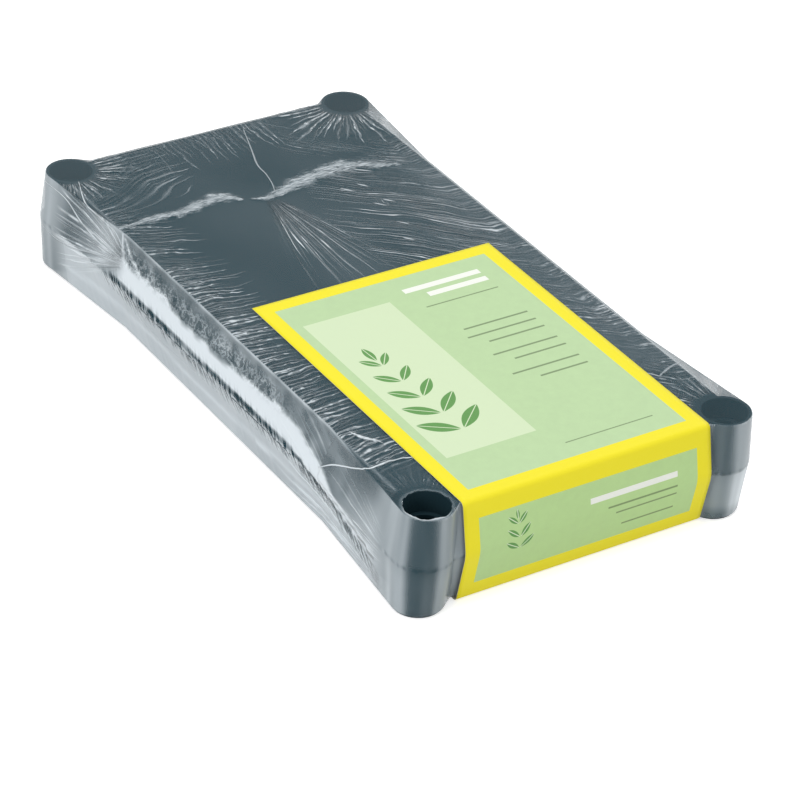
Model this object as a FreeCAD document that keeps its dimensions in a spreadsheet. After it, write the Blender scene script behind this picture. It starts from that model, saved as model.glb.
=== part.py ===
"""Self-assembly garden tool rack in its shrink-wrapped pack, in millimetres.

Two moulded tiers lie rim to rim, the base tier turned over on top of the tool tier, with the legs, feet
and wall fixings between them. A clear film wraps both tiers and a card sleeve is folded round the +X end.
The origin is at the bottom centre of the pack, +X along its length and +Z up.
"""

import math
import os

import FreeCAD
import Part
import Sketcher

V = FreeCAD.Vector

SIZES = {
    # the tiers, each drawn from its outer face at height 0 up to its rim
    "deck_length": 573.0,
    "deck_width": 286.6,
    "wall_draft": 3.0,
    "skin": 2.5,
    "lip_width": 6.0,
    "lip_thick": 3.0,
    "lip_chamfer": 9.0,
    "edge_bevel": 1.5,
    "socket_pitch_x": 556.0,
    "socket_pitch_y": 269.0,
    "socket_radius": 20.8,
    "socket_draft": 1.7,
    "bore_radius": 18.3,
    "rib_thick": 2.0,
    # the base tier, a tray that catches the tool ends
    "base_height": 41.0,
    "foot_bore_depth": 18.0,
    "ledge_thick": 3.0,
    "ledge_radius": 14.0,
    "base_rib_rise": 4.0,
    "base_rib_pitch": 63.5,
    # the tool tier, a deck with notches for the tool shafts
    "tool_height": 44.0,
    "boss_rise": 2.0,
    "boss_radius": 19.5,
    "tool_rib_rise": 7.0,
    "tool_rib_x": 60.0,
    "tool_rib_end_x": 181.0,
    "tool_rib_y": 26.5,
    "notch_width": 40.0,
    "notch_depth": 70.0,
    "notch_flare": 8.0,
    "notch_pitch": 150.0,
    # how far each tier sits from the pack's centre, in opposite directions
    "shift_x": 0.75,
    "shift_y": 1.25,
    # legs, three side by side on the deck ribs and one in the hollow between two of them
    "leg_radius": 18.1,
    "leg_wall": 2.2,
    "leg_length": 424.0,
    "leg_start_x": -212.5,
    "leg_pitch": 37.2,
    # feet, one in each pocket between two side notches
    "foot_length": 78.0,
    "foot_spigot": 17.0,
    "foot_flange_radius": 22.0,
    "foot_flange_thick": 3.0,
    "foot_neck_radius": 16.5,
    "foot_sole_radius": 25.0,
    "foot_sole_thick": 4.0,
    "foot_flutes": 20.0,
    "foot_bore_radius": 13.5,
    "foot_pocket_x": 75.0,
    "foot_pocket_y": 105.0,
    # wall fixings
    "clip_width": 24.0,
    "clip_reach": 30.0,
    "clip_rise": 38.0,
    "clip_thick": 3.0,
    "clip_hook": 9.0,
    "clip_hole": 2.25,
    "clip_x": 200.0,
    "clip_y": 80.0,
    "fixing_x": -248.0,
    "screw_length": 40.0,
    "screw_radius": 2.0,
    "screw_head_radius": 4.0,
    "screw_head_rise": 2.4,
    "screw_point": 7.0,
    "screw_y": 80.0,
    "plug_length": 35.0,
    "plug_radius": 3.5,
    "plug_bore": 1.6,
    "plug_y": 95.0,
    # the film, drawn thicker than the real one
    "film_thick": 0.2,
    "film_gap": 0.3,
    "film_slack": 0.5,
    "film_stand_off": 0.8,
    "film_under_gap": 0.3,
    "film_reach": 120.0,
    "film_angle": 38.0,
    "film_folds": 7.0,
    "film_tear": 16.5,
    # the card sleeve, measured on the middle of its thickness
    "card_thick": 0.5,
    "card_width": 223.0,
    "card_centre_y": 1.5,
    "card_edge_x": -14.5,
    "card_gap": 0.3,
    "card_floor_gap": 0.5,
    "card_bend": 4.0,
    "card_bend_x": 291.0,
    "card_nose_bend": 30.0,
    "card_nose_x": 298.4,
}

doc = FreeCAD.newDocument("tool_rack_pack")
sizes = doc.addObject("Spreadsheet::Sheet", "Sizes")
for row, (alias, value) in enumerate(SIZES.items(), start=1):
    sizes.set(f"A{row}", alias)
    sizes.set(f"B{row}", str(value))
    sizes.setAlias(f"B{row}", alias)
doc.recompute()


def formula(text):
    """Writes a formula in full: each dollar sign stands for the sheet's name."""
    return text.replace("$", "Sizes.")


def worth(text):
    """A formula's value now, for drawing near the final shape and for placing pieces."""
    result = sizes.evalExpression(formula(text))
    return float(getattr(result, "Value", result))


def bind(thing, prop, text):
    thing.setExpression(prop, formula(text))


# Sketches

def new_body(label):
    body = doc.addObject("PartDesign::Body", label)
    body.Label = label
    return body


def sketch_on(body, role, name, height="0"):
    """A sketch on one of the body's own origin planes, moved along its normal by a formula."""
    sketch = body.newObject("Sketcher::SketchObject", name)
    sketch.AttachmentSupport = [(next(p for p in body.Origin.OriginFeatures if p.Role == role), "")]
    sketch.MapMode = "FlatFace"
    bind(sketch, "AttachmentOffset.Base.z", height)
    return sketch


def constrain(sketch, wanted):
    """Adds constraints given as kind, references, value and formula; a coincidence has no value."""
    first = sketch.ConstraintCount
    made = []
    for kind, references, value, _ in wanted:
        numbers = references if value is None else (*references, value)
        made.append(Sketcher.Constraint(kind, *numbers))
    sketch.addConstraint(made)
    for number, (_, _, _, text) in enumerate(wanted, start=first):
        if text:
            bind(sketch, f"Constraints[{number}]", text)


def pinned(geometry, point, corner):
    """Constraints that tie one point of a sketch to the origin by a pair of formulas."""
    return [
        ("DistanceX", (-1, 1, geometry, point), worth(corner[0]), corner[0]),
        ("DistanceY", (-1, 1, geometry, point), worth(corner[1]), corner[1]),
    ]


def outline(sketch, corners, arcs=None):
    """Draws a closed outline through corners given as pairs of formulas.

    arcs maps the number of a corner to the radius and centre, as formulas, of the arc that leaves it, under
    half a turn; a radius that starts with a minus sign turns clockwise.
    """
    arcs = arcs or {}
    points = [V(worth(x), worth(y), 0) for x, y in corners]
    count = len(points)
    shapes = []
    starts = []
    for i, start in enumerate(points):
        end = points[(i + 1) % count]
        if i not in arcs:
            shapes.append(Part.LineSegment(start, end))
            starts.append(1)
            continue
        radius, centre_x, centre_y = arcs[i]
        centre = V(worth(centre_x), worth(centre_y), 0)
        clockwise = radius.startswith("-")
        first, last = (end, start) if clockwise else (start, end)
        shapes.append(Part.Arc(first, arc_middle(centre, first, last), last))
        starts.append(2 if clockwise else 1)
    base = sketch.GeometryCount
    sketch.addGeometry(shapes)
    wanted = []
    for i in range(count):
        after = (i + 1) % count
        wanted.append(("Coincident", (base + i, 3 - starts[i], base + after, starts[after]), None, ""))
        wanted += pinned(base + i, starts[i], corners[i])
        if i in arcs:
            radius = arcs[i][0].lstrip("-")
            wanted.append(("Radius", (base + i,), worth(radius), radius))
    constrain(sketch, wanted)


def arc_middle(centre, start, end):
    """Point half way round an arc that turns anticlockwise from start to end."""
    first = math.atan2(start.y - centre.y, start.x - centre.x)
    last = math.atan2(end.y - centre.y, end.x - centre.x)
    angle = first + (last - first) % (2 * math.pi) / 2
    return centre + V(math.cos(angle), math.sin(angle), 0) * centre.distanceToPoint(start)


def rectangle(sketch, half_x, half_y, centre_x="0", centre_y="0"):
    signs = ((-1, -1), (1, -1), (1, 1), (-1, 1))
    outline(sketch, [(f"{centre_x} + {sx} * ({half_x})", f"{centre_y} + {sy} * ({half_y})") for sx, sy in signs])


def chamfered_rectangle(sketch, half_x, half_y, cut):
    """Rectangle about the origin with its corners cut off at 45 degrees."""
    corners = []
    for sx, sy in ((1, 1), (-1, 1), (-1, -1), (1, -1)):
        on_end = (f"{sx} * ({half_x})", f"{sy} * ({half_y} - {cut})")
        on_side = (f"{sx} * ({half_x} - {cut})", f"{sy} * ({half_y})")
        corners += [on_end, on_side] if sx == sy else [on_side, on_end]
    outline(sketch, corners)


def circle(sketch, radius, centre_x="0", centre_y="0"):
    centre = V(worth(centre_x), worth(centre_y), 0)
    index = sketch.addGeometry(Part.Circle(centre, V(0, 0, 1), worth(radius)))
    constrain(sketch, [*pinned(index, 3, (centre_x, centre_y)), ("Radius", (index,), worth(radius), radius)])


def socket_circles(sketch, radius):
    """One circle on each of the four socket axes."""
    for sx in (-1, 1):
        for sy in (-1, 1):
            circle(sketch, radius, f"{sx} * $socket_pitch_x / 2", f"{sy} * $socket_pitch_y / 2")


# Features

def pad(body, sketch, length, name, draft="0", downward=False, midplane=False):
    feature = body.newObject("PartDesign::Pad", name)
    feature.Profile = sketch
    bind(feature, "Length", length)
    bind(feature, "TaperAngle", draft)
    feature.Reversed = downward
    feature.Midplane = midplane
    body.Tip = feature
    doc.recompute()
    return feature


def pocket(body, sketch, depth, name, draft="0", both_ways=False):
    """Cuts a sketch's outline away from its plane, upward or both ways, and checks that it cuts."""
    doc.recompute()
    before = body.Shape.Volume
    feature = body.newObject("PartDesign::Pocket", name)
    feature.Profile = sketch
    bind(feature, "Length", depth)
    bind(feature, "TaperAngle", draft)
    feature.Reversed = not both_ways
    feature.Midplane = both_ways
    body.Tip = feature
    doc.recompute()
    if not body.Shape.Volume < before:
        raise ValueError(f"{name} cuts nothing")
    return feature


def edges_where(feature, test):
    """Names of the edges whose bounding box passes a test."""
    return [f"Edge{i}" for i, edge in enumerate(feature.Shape.Edges, start=1) if test(edge.BoundBox)]


# Tiers

DECK_X = "$deck_length / 2"
DECK_Y = "$deck_width / 2"

# Gap left under a piece that rests on another
REST = 0.05


def tray(body, height):
    """Drafted box open at its rim, with the outward lip and the four solid socket columns."""
    name = body.Name
    deck = sketch_on(body, "XY_Plane", f"{name}_deck")
    rectangle(deck, DECK_X, DECK_Y)
    block = pad(body, deck, height, f"{name}_block", "$wall_draft")

    edge = body.newObject("PartDesign::Chamfer", f"{name}_edge")
    edge.Base = (block, edges_where(block, lambda box: box.ZMax < 0.01))
    bind(edge, "Size", "$edge_bevel")
    body.Tip = edge

    inside = sketch_on(body, "XY_Plane", f"{name}_inside", "$skin")
    inset = "$skin - $skin * tan($wall_draft)"
    rectangle(inside, f"{DECK_X} - ({inset})", f"{DECK_Y} - ({inset})")
    pocket(body, inside, height, f"{name}_hollow", "$wall_draft")

    lip = sketch_on(body, "XY_Plane", f"{name}_lip_line", f"{height} - $lip_thick")
    rim_x, rim_y = (f"{half} + {height} * tan($wall_draft)" for half in (DECK_X, DECK_Y))
    chamfered_rectangle(lip, f"{rim_x} + $lip_width", f"{rim_y} + $lip_width", "$lip_chamfer")
    rectangle(lip, f"{rim_x} - $skin", f"{rim_y} - $skin")
    pad(body, lip, "$lip_thick", f"{name}_lip")

    columns = sketch_on(body, "XY_Plane", f"{name}_columns_line")
    socket_circles(columns, "$socket_radius")
    pad(body, columns, height, f"{name}_columns", "$socket_draft")


def ribs(body, name, rise, lines):
    """Ribs on the inside of the deck; each line gives centre and half sizes as formulas."""
    sketch = sketch_on(body, "XY_Plane", f"{name}_line", "$skin - 1")
    for centre_x, centre_y, half_x, half_y in lines:
        rectangle(sketch, half_x, half_y, centre_x, centre_y)
    pad(body, sketch, f"{rise} + 1", name)


def bores(body, name, radius, start, depth):
    sketch = sketch_on(body, "XY_Plane", f"{name}_line", start)
    socket_circles(sketch, radius)
    pocket(body, sketch, depth, name)


def make_base_tier():
    """Tray that stands low on the feet. Its sockets take the feet from below and the legs from above."""
    body = new_body("base_tier")
    tray(body, "$base_height")
    half = "$rib_thick / 2"
    ribs(
        body,
        "base_ribs",
        "$base_rib_rise",
        [(f"{i} * $base_rib_pitch", "0", half, f"{DECK_Y} - 4") for i in (-3, -2, -1, 0, 1, 2, 3)],
    )
    bores(body, "foot_bores", "$bore_radius", "0", "$foot_bore_depth")
    bores(body, "ledge_holes", "$ledge_radius", "0", "$base_height")
    bores(body, "leg_bores", "$bore_radius", "$foot_bore_depth + $ledge_thick", "$base_height")
    top = worth("$boss_rise + $tool_height + $base_height")
    over = FreeCAD.Rotation(V(1, 0, 0), 180)
    body.Placement = FreeCAD.Placement(V(worth("$shift_x"), worth("$shift_y"), top), over)


# The notches: number along the edge, then the turn from the +Y side to the side that the notch is on

NOTCHES = [(i, side) for side in (0, 180) for i in (-1, 0, 1)] + [(0, 90), (0, 270)]


def notch(sketch, place, side, grow, reach):
    """One notch for a tool shaft: a round inner end and a mouth that widens through the wall.

    grow widens the outline all round, for the wall that lines the notch, and reach is how far it runs
    past the deck's edge.
    """
    edge = DECK_Y if side in (0, 180) else DECK_X
    half = f"($notch_width / 2 + {grow})"
    wide = "($notch_width / 2 + $notch_flare)"
    mouth = f"({edge} - $notch_flare)"
    round_end = f"({edge} - $notch_depth + $notch_width / 2)"
    lead = f"({edge} - {grow})"

    def turned(across, out):
        across = f"({place} * $notch_pitch + {across})"
        cosine, sine = round(math.cos(math.radians(side))), round(math.sin(math.radians(side)))
        if sine == 0:
            return (f"{cosine} * {across}", f"{cosine} * {out}")
        return (f"{-sine} * {out}", f"{sine} * {across}")

    corners = [
        turned(f"-{wide}", f"({edge} + {reach})"),
        turned(f"-{wide}", lead),
        turned(f"-{half}", mouth),
        turned(f"-{half}", round_end),
        turned("0", f"({round_end} - {half})"),
        turned(half, round_end),
        turned(half, mouth),
        turned(wide, lead),
        turned(wide, f"({edge} + {reach})"),
    ]
    arcs = {corner: (half, *turned("0", round_end)) for corner in (3, 4)}
    outline(sketch, corners, arcs)


def make_tool_tier():
    """Deck that holds the tool shafts in its edge notches, with sockets closed over the leg ends."""
    body = new_body("tool_tier")
    tray(body, "$tool_height")
    bosses = sketch_on(body, "XY_Plane", "bosses_line")
    socket_circles(bosses, "$boss_radius")
    pad(body, bosses, "$boss_rise", "bosses", downward=True)

    half = "$rib_thick / 2"
    across = [f"{sign} * ${name}" for sign in (-1, 1) for name in ("tool_rib_x", "tool_rib_end_x")]
    ribs(body, "cross_ribs", "$tool_rib_rise", [(x, "0", half, f"{DECK_Y} - 4") for x in across])
    ribs(
        body,
        "long_ribs",
        "$tool_rib_rise",
        [("0", f"{sign} * $tool_rib_y", f"{DECK_X} - 4", half) for sign in (-1, 1)],
    )

    linings = sketch_on(body, "XY_Plane", "notch_linings_line", "$edge_bevel")
    cuts = sketch_on(body, "XY_Plane", "notch_cuts_line", "-$boss_rise")
    for place, side in NOTCHES:
        notch(linings, place, side, "$skin", "0.05")
        notch(cuts, place, side, "0", "$lip_width + $notch_flare")
    pad(body, linings, "$tool_height - $edge_bevel", "notch_linings")
    pocket(body, cuts, "$tool_height + 2 * $boss_rise", "notch_cuts")

    bores(body, "blind_leg_bores", "$bore_radius", "$skin", "$tool_height")
    body.Placement.Base = V(-worth("$shift_x"), -worth("$shift_y"), worth("$boss_rise"))


# Legs and feet

CORNERS = {
    "front_left": (-1, -1),
    "front_right": (1, -1),
    "back_left": (-1, 1),
    "back_right": (1, 1),
}


def lie_along_x(body, x, y, z, toward=1):
    """Lays a piece drawn along Z down along +X or -X, from a point on its axis."""
    body.Placement = FreeCAD.Placement(V(x, y, z), FreeCAD.Rotation(V(0, 1, 0), 90 * toward))


def make_leg(corner, across, above):
    """Straight tube for the sockets, placed by its row and its height in the stack."""
    body = new_body(f"leg_{corner}")
    ends = sketch_on(body, "XY_Plane", f"leg_section_{corner}")
    circle(ends, "$leg_radius")
    circle(ends, "$leg_radius - $leg_wall")
    pad(body, ends, "$leg_length", f"leg_tube_{corner}")
    radius, pitch = worth("$leg_radius"), worth("$leg_pitch")
    on_ribs = worth("$boss_rise + $skin + $tool_rib_rise + $leg_radius") + REST
    nested = above * math.sqrt((2 * radius + REST) ** 2 - pitch**2 / 4)
    lie_along_x(body, worth("$leg_start_x"), across * pitch, on_ribs + nested)


def fluted(sketch, radius):
    """Outline of a foot's skirt: a regular polygon whose corners lie on a circle."""
    count = int(worth("$foot_flutes"))
    turns = [f"{i} * 360 / {count}" for i in range(count)]
    outline(sketch, [(f"({radius}) * cos({turn})", f"({radius}) * sin({turn})") for turn in turns])


def make_foot(corner, side_x, side_y):
    """Foot with a fluted skirt that flares to the sole, a flange under the tier and a spigot for the socket."""
    body = new_body(f"foot_{corner}")
    flange = "$foot_length - $foot_spigot - $foot_flange_thick"
    skirt = f"({flange} - $foot_sole_thick)"
    lean = f"atan(($foot_sole_radius - $foot_neck_radius) / {skirt})"
    bell = sketch_on(body, "XY_Plane", f"skirt_line_{corner}", "$foot_sole_thick")
    fluted(bell, "$foot_sole_radius")
    upright = pad(body, bell, skirt, f"skirt_{corner}")
    faces = {f"Face{i}": face for i, face in enumerate(upright.Shape.Faces, start=1)}
    sides = [name for name, face in faces.items() if face.BoundBox.ZLength > 1]
    base = min(faces, key=lambda name: faces[name].CenterOfMass.z)
    flare = body.newObject("PartDesign::Draft", f"flare_{corner}")
    flare.Base = (upright, sides)
    flare.NeutralPlane = (upright, [base])
    bind(flare, "Angle", lean)
    body.Tip = flare
    sole = sketch_on(body, "XY_Plane", f"sole_line_{corner}")
    fluted(sole, "$foot_sole_radius")
    pad(body, sole, "$foot_sole_thick", f"sole_{corner}")
    under_tier = sketch_on(body, "XY_Plane", f"flange_line_{corner}", flange)
    fluted(under_tier, "$foot_flange_radius")
    pad(body, under_tier, "$foot_flange_thick", f"flange_{corner}")
    plug = sketch_on(body, "XY_Plane", f"spigot_line_{corner}", f"{flange} + $foot_flange_thick - 1")
    circle(plug, "$leg_radius")
    pad(body, plug, "$foot_spigot + 1", f"spigot_{corner}")
    hollow = sketch_on(body, "XY_Plane", f"bore_line_{corner}", "-1")
    circle(hollow, "$foot_bore_radius")
    pocket(body, hollow, "$foot_length + 2", f"bore_{corner}")
    lift = worth("$boss_rise + $skin + $foot_sole_radius") + REST
    outer_end = worth("$foot_pocket_x + $foot_length / 2")
    lie_along_x(body, side_x * outer_end, side_y * worth("$foot_pocket_y"), lift, -side_x)


# Wall fixings

def make_clip(label, y):
    """Angle clip: a hook for the deck's edge, and a back with a screw hole. y is the formula of its place."""
    body = new_body(label)
    profile = sketch_on(body, "XY_Plane", f"{label}_profile")
    outline(
        profile,
        [
            ("0", "0"),
            ("$clip_reach", "0"),
            ("$clip_reach", "$clip_hook"),
            ("$clip_reach - $clip_thick", "$clip_hook"),
            ("$clip_reach - $clip_thick", "$clip_thick"),
            ("$clip_thick", "$clip_thick"),
            ("$clip_thick", "$clip_rise"),
            ("0", "$clip_rise"),
        ],
    )
    pad(body, profile, "$clip_width", f"{label}_angle")
    hole = sketch_on(body, "YZ_Plane", f"{label}_hole_line")
    circle(hole, "$clip_hole", "$clip_rise - $clip_hook", "$clip_width / 2")
    pocket(body, hole, "4 * $clip_thick", f"{label}_hole", both_ways=True)
    body.Placement.Base = V(worth("$clip_x"), worth(y), worth("$boss_rise + $skin") + REST)


def turned_pair(label, corners, height, y):
    """Two like turned pieces that lie along X, one each side of the middle, as one node of separate solids."""
    profile = doc.addObject("Sketcher::SketchObject", f"{label}_profile")
    outline(profile, corners)
    turned = []
    for side in (-1, 1):
        piece = doc.addObject("Part::Revolution", f"{label}_{len(turned) + 1}")
        piece.Source = profile
        piece.Axis = (1, 0, 0)
        piece.Solid = True
        piece.Placement.Base = V(worth("$fixing_x"), side * worth(y), height)
        turned.append(piece)
    group = doc.addObject("Part::Compound", label)
    group.Label = label
    group.Links = turned


def make_screws(floor):
    """Countersunk wood screws, drawn along X from the head; the thread is left out."""
    corners = [
        ("0", "0"),
        ("0", "$screw_head_radius"),
        ("$screw_head_rise", "$screw_radius"),
        ("$screw_length - $screw_point", "$screw_radius"),
        ("$screw_length", "0"),
    ]
    height = floor + worth("$screw_head_radius")
    turned_pair("wall_screws", corners, height, "$screw_y")


def make_plugs(floor):
    """Wall plugs, drawn along X, with the bore for the screw."""
    corners = [
        ("0", "$plug_bore"),
        ("0", "$plug_radius"),
        ("$plug_length", "$plug_radius"),
        ("$plug_length", "$plug_bore"),
    ]
    height = floor + worth("$plug_radius")
    turned_pair("wall_plugs", corners, height, "$plug_y")


# Film and sleeve

def touch(a, radius_a, b, radius_b, side):
    """Ends of the straight line that touches two circles on the same side, 1 for left and -1 for right."""
    along = b - a
    length = along.Length
    along = along / length
    left = V(-along.y, along.x, 0) * side
    lean = (radius_a - radius_b) / length
    normal = along * lean + left * math.sqrt(1 - lean * lean)
    return a + normal * radius_a, b + normal * radius_b


def film_line(height, half_x, half_y, column, shift_x, shift_y):
    """The film's outline at a height: it hugs the columns and walls and bridges the corners between them.

    Round a column the film is taut in narrow flat folds, each touching the column's circle at its middle.
    """
    middle = V(shift_x, shift_y, 0)
    reach, angle = worth("$film_reach"), math.radians(worth("$film_angle"))
    folds = int(worth("$film_folds"))
    points = []
    for sx, sy in ((1, 1), (-1, 1), (-1, -1), (1, -1)):
        centre = middle + V(sx * worth("$socket_pitch_x / 2"), sy * worth("$socket_pitch_y / 2"), 0)
        column_end = centre + V(sx * math.cos(angle), -sy * math.sin(angle), 0) * column
        run = (sx * (column_end.x - middle.x) - half_x) / math.sin(angle)
        on_end = column_end + V(-sx * math.sin(angle), -sy * math.cos(angle), 0) * run
        on_side = V(centre.x - sx * reach, middle.y + sy * half_y, 0)
        if sx == sy:
            before, enter, after = on_end, column_end, on_side
            leave = touch(centre, column, after, 0, -1)[0]
        else:
            before, after = on_side, on_end
            enter, leave = touch(before, 0, centre, column, -1)[1], column_end
        first = math.atan2(enter.y - centre.y, enter.x - centre.x)
        sweep = (math.atan2(leave.y - centre.y, leave.x - centre.x) - first) % (2 * math.pi)
        step = sweep / folds
        crest = column / math.cos(step / 2)
        turns = [first + step * (i + 0.5) for i in range(folds)]
        round_column = [centre + V(math.cos(turn), math.sin(turn), 0) * crest for turn in turns]
        points += [before, *round_column, after]
    wire = Part.makePolygon([*points, points[0]])
    wire.translate(V(0, 0, height))
    return wire


def film_block(grow):
    """Closed block inside the film's surface, from under the tool tier to over the base tier."""
    gap = worth("$film_gap") + grow
    low = worth("$boss_rise - $film_under_gap") - grow
    rim = worth("$boss_rise + $tool_height")
    high = rim + worth("$base_height") + gap
    shift_x, shift_y = worth("$shift_x"), worth("$shift_y")
    deck_x, deck_y = worth(DECK_X) + gap, worth(DECK_Y) + gap
    lip = worth("$tool_height * tan($wall_draft) + $lip_width + $film_stand_off") + gap
    column = worth("$socket_radius")
    at_rim = column + worth("$tool_height * tan($socket_draft) + $film_slack") + math.hypot(shift_x, shift_y) + gap
    lines = [
        film_line(low, deck_x, deck_y, column + gap, -shift_x, -shift_y),
        film_line(rim, worth(DECK_X) + lip + shift_x, worth(DECK_Y) + lip + shift_y, at_rim, 0, 0),
        film_line(high, deck_x, deck_y, column + gap, shift_x, shift_y),
    ]
    return Part.makeLoft(lines, True, True)


def make_film():
    """Clear film round both tiers, open under the four bosses and torn over one socket."""
    film = doc.addObject("Part::Feature", "shrink_film")
    film.Label = "shrink_film"
    skin = film_block(worth("$film_thick")).cut(film_block(0.0))
    pitch_x, pitch_y = worth("$socket_pitch_x / 2"), worth("$socket_pitch_y / 2")
    shift_x, shift_y = worth("$shift_x"), worth("$shift_y")
    boss = worth("$boss_radius + $film_gap")
    holes = [
        Part.makeCylinder(boss, worth("$boss_rise + $skin"), V(sx * pitch_x - shift_x, sy * pitch_y - shift_y, 0))
        for sx in (-1, 1)
        for sy in (-1, 1)
    ]
    top = worth("$boss_rise + $tool_height + $base_height")
    holes.append(Part.makeCylinder(worth("$film_tear"), 2, V(pitch_x + shift_x, shift_y - pitch_y, top)))
    for hole in holes:
        skin = skin.cut(hole)
    film.Shape = skin


def make_sleeve():
    """Printed card folded round the end: a flap above, a bowed end panel and a flap below."""
    body = new_body("card_sleeve")
    low = worth("$card_floor_gap + $card_thick / 2")
    high = worth("$boss_rise + $tool_height + $base_height + $film_gap + $film_thick + $card_gap + $card_thick / 2")
    middle = worth("$boss_rise + $tool_height")
    bend, nose = worth("$card_bend"), worth("$card_nose_bend")
    start_x, bend_x, nose_x = worth("$card_edge_x"), worth("$card_bend_x"), worth("$card_nose_x")
    half = worth("$card_thick / 2")

    def face(offset):
        """Corners and centres of the card's path, moved outward by an offset."""
        centres = [V(bend_x - bend, low + bend, 0), V(nose_x - nose, middle, 0), V(bend_x - bend, high - bend, 0)]
        radii = [bend + offset, nose + offset, bend + offset]
        first = touch(centres[0], radii[0], centres[1], radii[1], -1)
        second = touch(centres[1], radii[1], centres[2], radii[2], -1)
        points = [
            V(start_x, low - offset, 0),
            V(centres[0].x, low - offset, 0),
            *first,
            *second,
            V(centres[2].x, high + offset, 0),
            V(start_x, high + offset, 0),
        ]
        return points, centres, radii

    outer, centres, radii = face(half)
    inner, _, inner_radii = face(-half)
    points = outer + inner[::-1]
    corners = [(repr(p.x), repr(p.y)) for p in points]
    arcs = {}
    for number, centre, radius, inner_radius in zip((1, 3, 5), centres, radii, inner_radii):
        arcs[number] = (repr(radius), repr(centre.x), repr(centre.y))
        arcs[14 - number] = ("-" + repr(inner_radius), repr(centre.x), repr(centre.y))
    path = sketch_on(body, "XZ_Plane", "card_edge", "-$card_centre_y")
    outline(path, corners, arcs)
    pad(body, path, "$card_width", "card", midplane=True)


def main():
    """Builds every piece, checks each one and writes its file."""
    floor = worth("$boss_rise + $skin") + REST
    make_base_tier()
    make_tool_tier()
    for corner, across, above in zip(CORNERS, (-1, 0, 1, 0.5), (0, 0, 0, 1)):
        make_leg(corner, across, above)
    for corner, (side_x, side_y) in CORNERS.items():
        make_foot(corner, side_x, side_y)
    make_clip("wall_clip_left", "-$clip_y - $clip_rise")
    make_clip("wall_clip_right", "$clip_y")
    make_screws(floor)
    make_plugs(floor)
    make_film()
    make_sleeve()
    doc.recompute()

    for thing in doc.Objects:
        if "Invalid" in thing.State or "Error" in thing.State:
            raise ValueError(f"{thing.Label} did not recompute: {thing.State}")
    os.makedirs("parts", exist_ok=True)
    kinds = ("PartDesign::Body", "Part::Compound", "Part::Feature")
    for thing in doc.Objects:
        if thing.TypeId not in kinds:
            continue
        shape = thing.Shape
        if shape.isNull() or not shape.isValid():
            raise ValueError(f"{thing.Label} has no valid shape")
        shape.exportStep(f"parts/{thing.Label}.step")
        box = shape.optimalBoundingBox()
        print(
            f"{thing.Label}: {len(shape.Solids)} solids, {shape.Volume:.0f} mm3,",
            f"x {box.XMin:.2f} {box.XMax:.2f}, y {box.YMin:.2f} {box.YMax:.2f}, z {box.ZMin:.2f} {box.ZMax:.2f}",
        )


main()
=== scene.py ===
"""Looks of a garden tool rack in its pack: two moulded tiers in shrink film, with a printed card sleeve.

Everything is in metres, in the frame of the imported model: origin at the bottom centre, +X along the pack.
"""

import logging
import math
from dataclasses import dataclass, field
from enum import Enum
from functools import cached_property, reduce
from itertools import pairwise

import bmesh
import bpy
import numpy as np
from mathutils import Matrix, Vector


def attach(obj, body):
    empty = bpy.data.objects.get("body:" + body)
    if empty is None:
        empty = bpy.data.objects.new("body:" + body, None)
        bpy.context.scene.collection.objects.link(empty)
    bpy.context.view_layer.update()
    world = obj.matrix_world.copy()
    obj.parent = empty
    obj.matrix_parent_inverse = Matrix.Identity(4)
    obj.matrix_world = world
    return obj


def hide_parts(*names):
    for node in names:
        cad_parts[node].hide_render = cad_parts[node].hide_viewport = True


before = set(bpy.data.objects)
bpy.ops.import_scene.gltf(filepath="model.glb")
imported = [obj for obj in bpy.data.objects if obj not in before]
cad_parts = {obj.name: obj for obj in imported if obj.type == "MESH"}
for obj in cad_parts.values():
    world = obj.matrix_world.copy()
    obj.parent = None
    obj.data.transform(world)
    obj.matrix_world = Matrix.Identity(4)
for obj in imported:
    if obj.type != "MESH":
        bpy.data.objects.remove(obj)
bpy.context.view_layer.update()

MM = 0.001

# The rays that see the background white
SEEING_RAYS = ("Is Camera Ray", "Is Glossy Ray", "Is Transmission Ray")

# How far outside and inside its outline a print's ink starts and is full
INK_EDGE = (-0.1 * MM, 0.15 * MM)

log = logging.getLogger("tool_rack_pack")

Pair = tuple[float, float]
Triple = tuple[float, float, float]
Colour = Triple


class Body(Enum):
    """The moving bodies of the pack."""

    PACK = "pack"
    SLEEVE = "sleeve"


def smooth(low: float, high: float, value: np.ndarray) -> np.ndarray:
    """Rises smoothly from 0 at low to 1 at high, or falls where high is below low."""
    share = np.clip((value - low) / (high - low), 0.0, 1.0)
    return share * share * (3.0 - 2.0 * share)


def hump(middle: float, width: float, value: np.ndarray) -> np.ndarray:
    """A rounded bump of 1 at middle that fades over width to each side."""
    return np.exp(-(((value - middle) / width) ** 2))


def straight(start: np.ndarray, end: np.ndarray, count: int) -> np.ndarray:
    """Points along a straight run of count steps."""
    share = np.linspace(0.0, 1.0, count + 1)[:, None]
    return np.array(start) * (1 - share) + np.array(end) * share


def grid_faces(names: np.ndarray) -> list[list[int]]:
    """Joins a grid of point numbers into faces, each wound from its first corner down the rows."""
    corners = (names[:-1, :-1], names[1:, :-1], names[1:, 1:], names[:-1, 1:])
    return np.stack([part.ravel() for part in corners], axis=1).tolist()


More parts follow.
